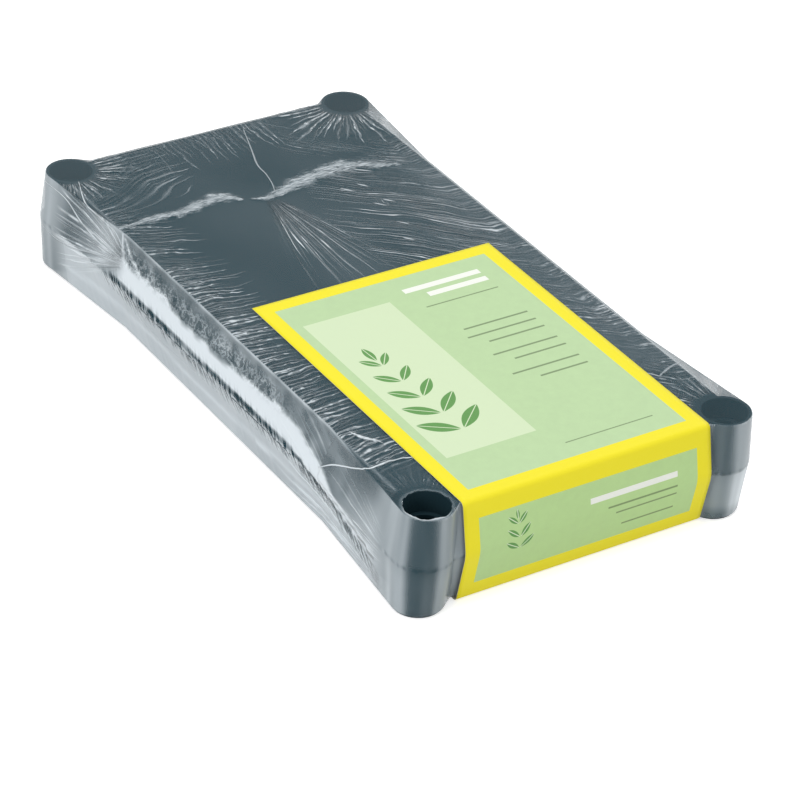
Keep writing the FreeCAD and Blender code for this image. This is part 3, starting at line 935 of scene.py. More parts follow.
class FilmFields:
    """What varies over the film: its relief, its cloudiness with painted sheen, reflections and highlights,
    and the lines that its pleats follow.

    The numbers in its formulas are places on the film, sizes of its wrinkles and strengths, all set one by
    one.
    """

    def __init__(self, film: ShrinkFilm, points: np.ndarray, level: np.ndarray, rings: int) -> None:
        """Measures each point against the deck's edges and the nearest column.

        Args:
            film: The film's sizes.
            points: The film's points before any relief.
            level: -1 for a point over the deck, or the number of its ring.
            rings: How many rings there are.
        """
        self.film = film
        self.points = points.copy()
        self.over = level < 0
        self.under = level >= rings - len(BOTTOM_SHARES) - 2
        self.wall = ~self.over & ~self.under
        self.x, self.y, self.z = self.points.T
        self.depth = film.heights[2] - self.z
        side_x, side_y = np.sign(self.x), np.sign(self.y)
        dx, dy = self.x - side_x * film.pitch[0], self.y - side_y * film.pitch[1]
        self.round = np.hypot(dx, dy)
        self.turn = np.arctan2(-dy * side_y + 1e-9, -dx * side_x + 1e-9)
        self.from_side = film.deck[1] - np.abs(self.y)
        self.from_end = film.deck[0] - np.abs(self.x)
        spread = np.where((self.x < 0) & (self.y > 0), 1.6, 1.0)
        self.near_column = smooth(62 * MM, 36 * MM, self.round / spread)
        self.between = smooth(HUG, 60 * MM, self.round)
        calm = np.maximum(smooth(40 * MM, 18 * MM, self.from_side), smooth(-0.040, 0.020, self.x))
        self.calm = smooth(-0.200, -0.150, self.x) * calm * smooth(0.050, 0.100, self.y)
        self.card = smooth(-22 * MM, -8 * MM, self.x) * smooth(118 * MM, 106 * MM, np.abs(self.y))
        self.seam_cloud = np.zeros_like(self.x)
        self.torn = np.zeros_like(self.x)

    def open_holes(self, faces: list) -> list:
        """Opens the burst over one socket and the holes round the bosses.

        Args:
            faces: The film's faces.

        Returns:
            The faces that stay.
        """
        film, corners, ragged = self.film, np.array(faces), Ripple(5)
        (pitch_x, pitch_y), (shift_x, shift_y) = film.pitch, film.shift
        holes = [(pitch_x + shift_x, shift_y - pitch_y, film.tear, 1.0 * MM, self.over)]
        for side_x, side_y in ((-1, -1), (-1, 1), (1, -1), (1, 1)):
            holes.append((side_x * pitch_x - shift_x, side_y * pitch_y - shift_y, film.boss, 0.0, self.under))
        for x, y, radius, rough, where in holes:
            dx, dy = self.x - x, self.y - y
            away, turn = np.hypot(dx, dy), np.arctan2(dy, dx)
            wave = ragged.at(turn * 3.2 + 20, turn * 0 + 1.5) + 0.5 * ragged.at(turn * 9 + 60, turn * 0)
            edge = radius + rough * wave
            inside = where & (away < edge)
            corners = corners[~inside[corners].all(axis=1)]
            push = np.where(inside, edge / np.maximum(away, 1e-6), 1.0)
            self.x[:] = np.where(inside, x + dx * push, self.x)
            self.y[:] = np.where(inside, y + dy * push, self.y)
            if rough:
                self.torn = where * smooth(radius + 3.2 * MM, radius + 0.6 * MM, away)
        return corners.tolist()

    def relief(self) -> np.ndarray:
        """Moves the points out from the pack by the height of each wrinkle.

        Returns:
            The moved points.
        """
        x, y = self.x, self.y
        fine, slow = Ripple(11), Ripple(12)
        reach = 30 * MM + 12 * MM * slow.at(x / 0.03, y / 0.03)
        pleat = np.zeros_like(x)
        for along, inward, seed in ((x, self.from_side, 21), (y, self.from_end, 22)):
            lean = along + 0.35 * inward + 2 * MM * slow.at(x / 0.02 + 9, y / 0.02)
            crest = Ripple(seed).crease(lean / (5.2 * MM), inward / (34 * MM))
            there = smooth(1 * MM, 6 * MM, inward) * smooth(1.35, 0.75, inward / reach)
            pleat += crest * there * (1 - self.near_column)
        fan = Ripple(23).crease(self.turn * 9.0, self.round / (45 * MM) + 3.3)
        pleat += fan * self.near_column * smooth(21 * MM, 32 * MM, self.round)
        rise = 0.75 * MM * pleat
        rough = 0.65 + 0.5 * fine.at(x / (2.6 * MM), y / (2.6 * MM))
        for seam in FILM_SEAMS:
            near = seam.weigh(x, y)
            rise += seam.rise * near * rough
            self.seam_cloud = np.maximum(self.seam_cloud, seam.cloud * near)
        rise += 0.35 * MM * (1 + Ripple(13).at(x / 0.035, y / 0.03)) * (1 - self.near_column)
        edge = np.minimum(self.from_side, self.from_end)
        rise *= self.over * (1 - 0.93 * self.card) * smooth(0.5 * MM, 5 * MM, edge + 2 * MM)
        self.points[:, 2] += rise
        self.points[:, 2] += self.torn * 0.7 * MM * (0.4 + Ripple(31).at(x / (3 * MM), y / (3 * MM)))
        self.push_walls()
        return self.points

    def along_walls(self) -> tuple[np.ndarray, np.ndarray]:
        """Tells which points belong to the long walls, and measures every point along its wall."""
        on_side = np.abs(self.y) / self.film.rim[1] > np.abs(self.x) / self.film.rim[0]
        return on_side, np.where(on_side, self.x, self.y)

    def push_walls(self) -> None:
        """Draws the film in between deck and rim, and gathers it where the two rims meet."""
        on_side, along = self.along_walls()
        up = self.z - self.film.heights[1]
        free = smooth(30 * MM, 75 * MM, self.round)
        sag = 0.9 * MM * np.sin(np.pi * np.clip(np.abs(up) / (40 * MM), 0, 1)) * free
        crumple = Ripple(41).crease((along + 0.8 * up) / (3.4 * MM), self.z / (9 * MM), 2.2)
        gather = 0.8 * MM * crumple * hump(0.0, 4 * MM, self.z - self.gather_line()) * (0.25 + 0.75 * free)
        streak = 0.5 * MM * Ripple(42).crease((along + 0.5 * self.z) / (7 * MM), self.z / (60 * MM)) * free
        streak *= smooth(0, 10 * MM, np.abs(up))
        push = (gather - sag + streak - 0.7 * MM * free) * self.wall
        push *= smooth(0.5 * MM, 4 * MM, np.minimum(self.depth, self.z))
        self.points[:, 1] += push * on_side * np.sign(self.y)
        self.points[:, 0] += push * ~on_side * np.sign(self.x)

    def gather_line(self) -> np.ndarray:
        """Height, beside each point, of the walls' crumpled line, which drops to the foot of one column."""
        drop = 26 * MM * smooth(0.110, 0.250, self.x) * (self.y < 0)
        return self.film.heights[1] + 0.8 * MM + 1.2 * MM * Ripple(71).at(self.x / 0.02, self.y / 0.02) - drop

    def facing(self) -> np.ndarray:
        """How far the film round a column faces the taut side, where the painted reflection stripe and
        highlight fall, from -1 to 1.
        """
        facing = math.cos(TAUT_AND_REFLECTION_SIDE) * (self.x - np.sign(self.x) * self.film.pitch[0])
        return (facing + math.sin(TAUT_AND_REFLECTION_SIDE) * (self.y - np.sign(self.y) * self.film.pitch[1])) / self.round

    def deck_cloud(self) -> np.ndarray:
        """How cloudy the film is over the deck, where it is almost clear, with a painted sheen band along its
        middle.

        Returns:
            A value from 0 to 1 for each point.
        """
        x, y = self.x, self.y
        deck = 0.045 + 0.03 * Ripple(51).at(x / 0.05, y / 0.05)
        # painted sheen: a broad lighter band along the deck's middle, from the seam towards the card
        deck += 0.05 * hump(-0.01, 45 * MM, y) * smooth(-0.2, -0.1, x)
        deck += 0.09 * self.calm * smooth(0.225, 0.185, x)
        edge = np.minimum(self.from_side, self.from_end)
        deck += 0.35 * hump(0.0, 1.4 * MM, edge) * smooth(23 * MM, 30 * MM, self.round)
        disc = smooth(30 * MM, 22 * MM, self.round)
        return deck * (1 - 0.6 * disc) + 0.06 * disc * (x < 0)

    def wall_cloud(self) -> np.ndarray:
        """How cloudy the walls' film is: mottled above the gathered line, with a white strip that is partly a
        painted reflection, and pale below, where the paleness is partly a painted reflection and carries a
        painted highlight stripe.

        Returns:
            A value from 0 to 1 for each point.
        """
        x, y, z = self.x, self.y, self.z
        slow, patch = Ripple(51), Ripple(52)
        on_side, along = self.along_walls()
        wander = 3.0 * MM * slow.at(along / 0.05 + 7, along * 0 + 3)
        mottled = 0.34 + 0.14 * patch.at(along / (9 * MM), z / (8 * MM))
        mottled += 0.10 * slow.at(along / 0.06, z / 0.02) + 0.4 * hump(0.0, 1.6 * MM, self.depth)
        right_end = np.where(y < 0, smooth(0.262, 0.225, x), smooth(0.160, 0.060, x))
        ends = smooth(*MOTTLED_FROM, x) * right_end * on_side + 0.35 * ~on_side
        line = self.gather_line()
        ragged = 1.4 * MM * patch.at(along / (11 * MM), along * 0 + 9)
        sinking = 27 * MM * smooth(0.090, 0.235, x) * (y < 0)
        # The white strip along the upper wall is partly white stretched film and partly a painted reflection
        # band.
        strip = smooth(2.5 * MM, 3.5 * MM, z - line)
        strip = strip * smooth(68 * MM, 64 * MM, z + 1.2 * wander + ragged + sinking) * ends
        paler = np.maximum(smooth(-0.150, -0.190, x), smooth(0.165, 0.225, x)) * (y < 0) * on_side
        gather = smooth(80 * MM, 10 * MM, np.hypot(x + 0.160, z - 0.066)) * (x < -0.150)
        sheer = 0.13 + 0.42 * smooth(4 * MM, 42 * MM, self.depth + 0.25 * np.maximum(x - 0.21, 0.0))
        sheer += 0.16 * smooth(0.215, 0.255, x)
        mottled += (np.where(x < 0, 0.25 + 0.55 * gather, sheer) - mottled) * paler
        upper = mottled + (1.0 - mottled) * strip
        # Below the line the paleness is partly haze and partly a painted reflection of the bright
        # surroundings; the hump 20 mm up is a painted highlight stripe.
        lower = 0.75 + 0.08 * slow.at(along / 0.10, z / 0.04) + 0.12 * hump(20 * MM, 2.5 * MM, z + wander)
        wall = np.where(z > line, upper, lower)
        for seam in WALL_SEAMS:
            wall = np.maximum(wall, seam.cloud * seam.weigh(x, z) * (on_side & (y < 0)))
        return wall

    def column_cloud(self) -> np.ndarray:
        """How cloudy the film round the columns is, partly haze and partly painted reflection: clearer, so
        darker, on the taut side, with painted lighter and darker gradients round and up each column.

        Returns:
            A value for each point.
        """
        x, z = self.x, self.z
        # painted reflection: the film is clearer, so darker, towards the taut side, and the terms below paint
        # lighter and darker parts of each column
        slack_and_sheen = smooth(0.985, 0.78, self.facing())
        far_right = (x > 0) & (self.y > 0)
        column = np.where(x < 0, 0.56 + 0.06 * slack_and_sheen, 0.14 + 0.44 * slack_and_sheen) + 0.12 * far_right
        column += 0.08 * Ripple(53).at(self.turn * 4.0, z / 0.1 + 5)
        column += 0.05 * smooth(46 * MM, 30 * MM, z) * np.sign(x)
        column += 0.23 * far_right * smooth(46 * MM, 43 * MM, z) * smooth(4 * MM, 16 * MM, z)
        return column - 0.16 * hump(45 * MM, 1.6 * MM, z) * (0.5 + Ripple(52).at(self.turn * 9.0, z * 0))

    def cloud(self) -> np.ndarray:
        """How cloudy the film is, from clear over the deck to white in its gathered strips, with painted
        sheen, reflections and highlights among it.

        Returns:
            A value from 0 to 1 for each point.
        """
        hug = smooth(46 * MM, 27 * MM, self.round)
        wall = self.wall_cloud() * (1 - hug) + self.column_cloud() * hug
        # The torn rim is whiter towards the taut side: lifted film's white with a painted highlight on that
        # side.
        lifted = (0.25 + 0.6 * smooth(0.2, 0.8, self.facing())) * self.torn
        return np.clip(np.maximum(np.where(self.over, self.deck_cloud(), wall), lifted), 0.0, 1.0)

    def worn(self) -> np.ndarray:
        """How finely crumpled the film of the long walls is: most in the band between the deck and the rim.

        Returns:
            A value from 0 to 1 for each point.
        """
        band = smooth(4 * MM, 12 * MM, self.depth) * smooth(27 * MM, 19 * MM, self.depth)
        ends = smooth(*MOTTLED_FROM, self.x) * smooth(0.130, 0.060, self.x)
        return band * self.wall * np.where(self.y < 0, ends, 1.0) * self.between

    def fans(self) -> tuple[np.ndarray, np.ndarray, np.ndarray]:
        """Lays out the pleats that spread from a point: a column, the knot in the seam, or a wall's gather.

        Returns:
            For each point the place across the fan, the place along its pleats, and how much they show.
        """
        x, y, z = self.x, self.y, self.z
        across, inward = self.turn * 42 * MM, 0.8 * (self.round - 20 * MM - self.depth * ~self.over)
        deck = self.near_column * smooth(22 * MM, 27 * MM, self.round)
        deck *= (1 + 0.35 * Ripple(62).at(x / 0.03, y / 0.03)) * np.where((x > 0) & (y < 0), 0.18, 1.0)
        wall = 0.3 * smooth(50 * MM, HUG, self.round)
        wall *= np.where(y < 0, smooth(HUG, 23 * MM, self.round), 1.0)
        share = np.where(self.over, deck, wall)
        front_wall = self.wall & (y < 0) & (self.round > HUG)
        for fan in (DECK_FAN, *WALL_FANS):
            if fan is DECK_FAN:
                run, off, there = x - fan.x, y - fan.second, self.over
            else:
                run, off, there = fan.x - x, z - fan.second, front_wall & (z > self.gather_line() + fan.above)
            angle, away = np.arctan2(off, np.maximum(run, 1e-6)), np.hypot(run, off)
            weight = smooth(fan.wide, 0.6 * fan.wide, np.abs(angle)) * smooth(fan.near, 3 * fan.near, away)
            weight *= smooth(fan.far, 0.7 * fan.far, away) * smooth(HUG, 36 * MM, self.round)
            chosen = there & (run > 0) & (weight > 0)
            across = np.where(chosen, angle * fan.spread, across)
            inward = np.where(chosen, away * fan.stretch, inward)
            share = np.where(chosen, weight * fan.share, share)
        return across, inward, share

    def edge_pleats(self) -> tuple[np.ndarray, np.ndarray, np.ndarray, np.ndarray]:
        """Lays out the pleats that run in from the deck's edges.

        Returns:
            For each point the place across the long sides' pleats, the place along them, how much they show,
            and how much the ends' pleats show.
        """
        x, y, slow = self.x, self.y, Ripple(61)
        patch = np.clip(1.0 + 0.9 * slow.at(x / 0.045, y / 0.035), np.where(y > 0, 0.55, 0.15), 1.25)
        wander = 15 * MM * Ripple(63).at(x / 0.05, y / 0.05)
        far = smooth(0.0, 0.03, y + wander) * smooth(-0.20, -0.17, x) * smooth(0.02, -0.03, x)
        far = np.maximum(far, 0.9 * smooth(-0.190, -0.215, x + wander) * smooth(0.0, 0.06, np.abs(y)))
        inward = self.from_side * (1 - 0.68 * far)
        lean = 0.22 * slow.at(x / 0.09 + 40, y / 0.12)
        outer = 0.38 * smooth(-0.165, -0.235, x)
        lean += (y < 0) * (outer - 0.28 * smooth(-0.185, -0.15, x) * smooth(-0.06, -0.12, x))
        across = x + lean * np.minimum(self.from_side, 60 * MM) - 0.85 * np.clip(y - 0.015, 0.0, 0.115)
        across += 1.6 * MM * slow.at(x / 0.016, y / 0.016 + 70)
        across += 1.3 * MM * Ripple(64).at(x / 0.011, y / 0.011) * (y > 0)
        beside_hole = smooth(0.214, 0.228, x) * (y < 0)
        shown = (1 - self.near_column) * patch * self.over
        shown *= (1 - 0.75 * beside_hole) * (1 - 0.18 * smooth(-0.16, -0.19, x)) * (1 - 0.40 * self.calm)
        breaks = smooth(-0.45, 0.35, Ripple(65).at(across / 0.011, y / 0.020))
        share = smooth(66 * MM, 46 * MM, inward) * shown * np.where(y > 0, 0.50 + 0.62 * breaks, 1.0)
        ends = 0.7 * smooth(70 * MM, 46 * MM, self.from_end) * shown
        return across, inward, share, ends * (0.35 + 0.65 * smooth(0.08, 0.05, np.abs(y)))

    def gathered(self) -> np.ndarray:
        """How strongly the film is gathered along the line where the rims meet, and on the near long wall a
        band just below it; the finish draws both darker, with strokes.

        Returns:
            A value from 0 to 1 for each point.
        """
        above = self.z - self.gather_line()
        lower = 0.62 * hump(-6 * MM, 5 * MM, above) * (self.y < 0)
        gathered = np.maximum(hump(-0.8 * MM, 4.2 * MM, above), lower)
        return gathered * self.wall * self.between * np.where(self.y < 0, smooth(-0.190, -0.165, self.x), 1.0)

    def folds_and_highlights(self) -> np.ndarray:
        """Measures each point against the nearest of the thin folds, several of which carry painted
        highlights.

        Returns:
            For each point the place across the nearest line, whether it is beside it, and how white that line
            is.
        """
        line, beside, white = np.full_like(self.x, FAR_AWAY), np.zeros_like(self.x), np.zeros_like(self.x)
        flare = 0.101 * np.maximum(np.abs(self.x) - self.film.pitch[0] + self.film.reach, 0.0)
        unrolled = np.where(self.over, self.y, self.film.shift[1] - self.film.deck[1] - flare - self.depth)
        for seam in FILM_LINES:
            across, there = seam.sides(self.x, unrolled)
            nearer = np.abs(across) < np.abs(line)
            line, white = np.where(nearer, across, line), np.where(nearer, seam.cloud, white)
            beside = np.where(nearer, there, beside)
        beside *= smooth(7.0, 5.0, np.abs(line)) * (self.over | self.wall & (self.y < 0))
        return np.stack([line, beside, white])

    def write(self, mesh: bpy.types.Mesh) -> None:
        """Writes the fields to the mesh, for the film's finish to read.

        Args:
            mesh: The film's mesh, with the same points.
        """
        x, y, none = self.x, self.y, np.zeros_like(self.x)
        side_across, side_inward, side_share, end_share = self.edge_pleats()
        end_across = y + 2 * MM * Ripple(61).at(x / 0.018 + 90, y / 0.018)
        fan_across, fan_inward, fan_share = self.fans()
        fields = {
            "film_line": self.folds_and_highlights(),
            "film_across": np.stack([side_across, end_across, fan_across]),
            "film_inward": np.stack([side_inward, self.from_end, fan_inward]),
            "film_share": np.stack([side_share, end_share, fan_share]) * ~self.under,
            "film_state": np.stack([self.cloud(), self.gathered(), self.seam_cloud * self.over]),
            "film_worn": np.stack([self.worn(), none, none]),
        }
        for name, values in fields.items():
            made = mesh.attributes.new(name, "FLOAT_VECTOR", "POINT")
            made.data.foreach_set("vector", values.T.astype(np.float32).ravel())


@dataclass(frozen=True)
class FilmFinish:
    """Shrink film: glossy and clear where it is taut, white where it has gathered, with painted highlights
    and reflections in the same white.

    Attributes:
        clear: Colour that the clear film lends to what is under it.
        white: Colour of gathered film, and of the highlights and reflections painted on the film.
        stopped: How much of the light the clear film stops, and how much the gathered film stops.
        rough: Roughness of the clear film and of the gathered film.
        relief: Height of its fine pleats in metres.
        lengths: Length in millimetres of the pleats of the sides, of the ends and of the fans.
        sizes: Pitch in millimetres of the coarse and of the fine pleats, with their size and strength.
    """

    clear: Colour = (0.022, 0.085, 0.115)
    white: Colour = (0.755, 0.825, 0.872)
    stopped: Pair = (0.34, 0.97)
    rough: Pair = (0.10, 0.34)
    relief: float = 1.1 * MM
    lengths: Triple = (50.0, 50.0, 56.0)
    sizes: tuple[Pair, ...] = ((5.2, 1.0), (3.5, 0.65))

    def pleats(self, graph: Graph) -> tuple[Value, Value, list[Value]]:
        """Draws the fine pleats along the lines that the mesh holds.

        Args:
            graph: The material's graph.

        Returns:
            The crests, the glints on them, and every set's height.
        """
        across, inward = graph.attribute("film_across"), graph.attribute("film_inward")
        share = graph.attribute("film_share")
        crests, glints, heights = [], [], []
        for number, length in enumerate(self.lengths):
            for pitch, part in self.sizes:
                values = {"Across": across[number], "Inward": inward[number], "Seed": 3.7 * number + pitch}
                pleat = graph.use(EFFECTS.pleats, Pitch=pitch * MM, Length=length * part * MM, **values)
                shown = share[number] * (0.5 + 0.5 * part)
                crests.append(pleat["Crest"] * shown)
                glints.append(pleat["Glint"] * shown)
                heights.append(pleat["Height"] * (shown * part))
        return graph.highest(*crests), graph.highest(*glints), heights

    @staticmethod
    def frayed(graph: Graph, x: Value, y: Value, seam: Value) -> Value:
        """Frays the white of a seam into strands.

        Args:
            graph: The material's graph.
            x: The point's x.
            y: The point's y.
            seam: How white the seam is there.

        Returns:
            The frayed white.
        """
        fray = graph.noise(graph.vector(x * 210.0, y * 75.0, 5.0), 1.0, 4.0, 0.7)
        strands = graph.noise(graph.vector(x * 760.0, y * 95.0, 1.0), 1.0, 2.0)
        edge = seam + fray.ramp(0.3, 0.7, -0.42, 0.42)
        return edge.ramp(0.08, 0.62) * seam.ramp(0.0, 0.10) * strands.ramp(0.34, 0.66, 0.42, 0.86)

    def material(self) -> bpy.types.Material:
        """Builds the material.

        Returns:
            The new material.
        """
        made, graph, shader = new_material("shrink film")
        cloud, gathered, seam = graph.attribute("film_state")
        crest, glint, heights = self.pleats(graph)
        place = graph.place()
        crumple = graph.use(EFFECTS.crumple, Place=place, Scale=150.0)
        x, y, z = graph.parts(place)
        stroke = graph.noise(graph.vector((x + y + z * 0.6) * 290.0, z * 70.0, 3.0), 1.0, 1.5)
        across, beside, shine = graph.attribute("film_line")
        line = abs(across).ramp(1.15, 0.45) * (beside.ramp(0.2, 0.9) * shine)
        # The cloud holds the painted sheen and reflections; the crests' white is partly stress whitening and
        # partly a painted highlight; the glints, and the brightest thin lines, are painted highlights.
        white = graph.highest(cloud + crest * 0.62 + glint * 0.80, self.frayed(graph, x, y, seam), line)
        white = graph.math("SUBTRACT", white, gathered * stroke.ramp(0.48, 0.57) * 0.68, clamp=True)
        worn = (crumple["Crest"] - 0.35) * graph.attribute("film_worn")[0]
        white = graph.math("ADD", white, worn * 0.38, clamp=True)
        height = sum(heights[1:], heights[0]) + crumple["Height"] * seam.ramp(0.0, 0.5, 0.0, 0.7)
        height = height + stroke * gathered + line * 0.5
        graph.fill(shader, {
            "Base Color": graph.blend(white, self.clear, self.white),
            "Alpha": white.spread(*self.stopped),
            "Roughness": white.spread(*self.rough),
            "Normal": graph.bump(height, self.relief),
        })
        shader.inputs["Specular IOR Level"].default_value = 0.32
        shader.inputs["IOR"].default_value = 1.52
        return made


@dataclass
class CardSleeve:
    """The printed card folded round the pack's +X end.

    Attributes:
        start: Where the two flaps end along X.
        width: Width of the card.
        centre: Its middle along Y.
        thick: Its thickness.
        heights: Height of its middle below, at the nose and above.
        bend: Place along X and radius of the two folds.
        nose: The same of the bowed end.
        columns: Steps across the card.
        steps: Steps along it: a flap, its fold, a straight, the nose, a straight, the other fold and flap.
    """

    start: float = -14.5 * MM
    width: float = 223.0 * MM
    centre: float = 1.5 * MM
    thick: float = 0.5 * MM
    heights: Triple = (0.75 * MM, 46.0 * MM, 88.05 * MM)
    bend: Pair = (291.0 * MM, 4.0 * MM)
    nose: Pair = (298.4 * MM, 30.0 * MM)
    columns: int = 56
    steps: tuple[int, ...] = (92, 8, 12, 12, 12, 8, 60)

    @staticmethod
    def touch(a: np.ndarray, radius_a: float, b: np.ndarray, radius_b: float) -> np.ndarray:
        """Ends of the straight run that touches two circles on their +X side, going down.

        Args:
            a: Centre of the first circle.
            radius_a: Its radius.
            b: Centre of the second circle.
            radius_b: Its radius.

        Returns:
            The two touching points.
        """
        length = np.hypot(*(b - a))
        along = (b - a) / length
        lean = (radius_a - radius_b) / length
        normal = along * lean + np.array([-along[1], along[0]]) * math.sqrt(1 - lean * lean)
        return np.array([a + normal * radius_a, b + normal * radius_b])

    @staticmethod
    def arc(centre: np.ndarray, radius: float, start: np.ndarray, end: np.ndarray, count: int) -> np.ndarray:
        """Points along an arc that turns clockwise.

        Args:
            centre: The arc's centre.
            radius: Its radius.
            start: Its first point.
            end: Its last point.
            count: How many steps it has.

        Returns:
            The points.
        """
        first, last = (math.atan2(*(point - centre)[::-1]) for point in (start, end))
        turns = np.linspace(first, last, count + 1)
        return centre + radius * np.stack([np.cos(turns), np.sin(turns)], axis=1)

    def path(self) -> np.ndarray:
        """The card's line in the XZ plane, from the upper flap's end round to the lower one's.

        Returns:
            The points, at the middle of the card's thickness.
        """
        low, middle, high = self.heights
        (bend_x, bend), (nose_x, nose) = self.bend, self.nose
        top, bottom = np.array([bend_x - bend, high]), np.array([bend_x - bend, low])
        upper, lower = top - (0.0, bend), bottom + (0.0, bend)
        front = np.array([nose_x - nose, middle])
        off_upper, on_front = self.touch(upper, bend, front, nose)
        off_front, on_lower = self.touch(front, nose, lower, bend)
        ends = [(self.start, high), top, off_upper, on_front, off_front, on_lower, bottom, (self.start, low)]
        runs = [straight(*pair, count)[:-1] for pair, count in zip(pairwise(ends), self.steps)]
        for number, centre, radius in ((1, upper, bend), (3, front, nose), (5, lower, bend)):
            runs[number] = self.arc(centre, radius, *ends[number : number + 2], self.steps[number])[:-1]
        return np.concatenate([*runs, ends[-1:]])

    def build(self) -> bpy.types.Object:
        """Builds the sleeve and dresses it.

        Returns:
            The sleeve's piece.
        """
        line = self.path()
        along = np.concatenate([[0.0], np.cumsum(np.hypot(*np.diff(line, axis=0).T))])
        tangent = np.gradient(line, axis=0)
        tangent /= np.hypot(*tangent.T)[:, None]
        outward = np.stack([-tangent[:, 1], tangent[:, 0]], axis=1)
        across = np.linspace(-self.width / 2, self.width / 2, self.columns + 1)
        points = []
        for side in (0.5, -0.5):
            x, z = (line + side * self.thick * outward).T[..., None]
            points.append(np.stack(np.broadcast_arrays(x, across + self.centre, z), axis=-1).reshape(-1, 3))
        names = np.arange(len(line) * len(across)).reshape(len(line), -1)
        under = names + names.size
        outer = [[face[0], *face[:0:-1]] for face in grid_faces(names)]
        faces = outer + grid_faces(under)
        ahead, back = slice(None), slice(None, None, -1)
        for rim in ((ahead, 0), (back, -1), (0, back), (-1, ahead)):
            faces += grid_faces(np.column_stack([names[rim], under[rim]]))
        piece = new_piece("card_sleeve_printed", np.concatenate(points), faces, Body.SLEEVE)
        self.finish(piece.data, len(outer), along, across)
        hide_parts("card_sleeve")
        return piece

    def finish(self, mesh: bpy.types.Mesh, printed: int, along: np.ndarray, across: np.ndarray) -> None:
        """Lays the print out on the card and gives its two faces their finishes.

        Args:
            mesh: The sleeve's mesh.
            printed: How many of its faces, from the first, are printed.
            along: Distance along the card's line at each row of points.
            across: Distance across it at each column.
        """
        places = np.stack([np.repeat(along, len(across)), np.tile(across, len(along))], axis=1)
        corners = np.empty(len(mesh.loops), int)
        mesh.loops.foreach_get("vertex_index", corners)
        layer = mesh.uv_layers.new(name="print")
        layer.data.foreach_set("uv", np.tile(places, (2, 1))[corners].astype(np.float32).ravel())
        mesh.materials.append(CardPrint().material())
        mesh.materials.append(RAW_CARD.material())
        number = np.arange(len(mesh.polygons))
        mesh.polygons.foreach_set("material_index", (number >= printed).astype(int))
        mesh.polygons.foreach_set("use_smooth", number < 2 * printed)
        mesh.update()


class Ink(Enum):
    """The colours printed on the card."""

    YELLOW = (0.945, 0.830, 0.022)
    GREEN = (0.505, 0.685, 0.385)
    MOSS = (0.500, 0.710, 0.315)
    PALE = (0.74, 0.86, 0.60)
    WHITE = (0.93, 0.95, 0.88)
    DARK = (0.10, 0.15, 0.07)
    LEAF = (0.13, 0.33, 0.09)


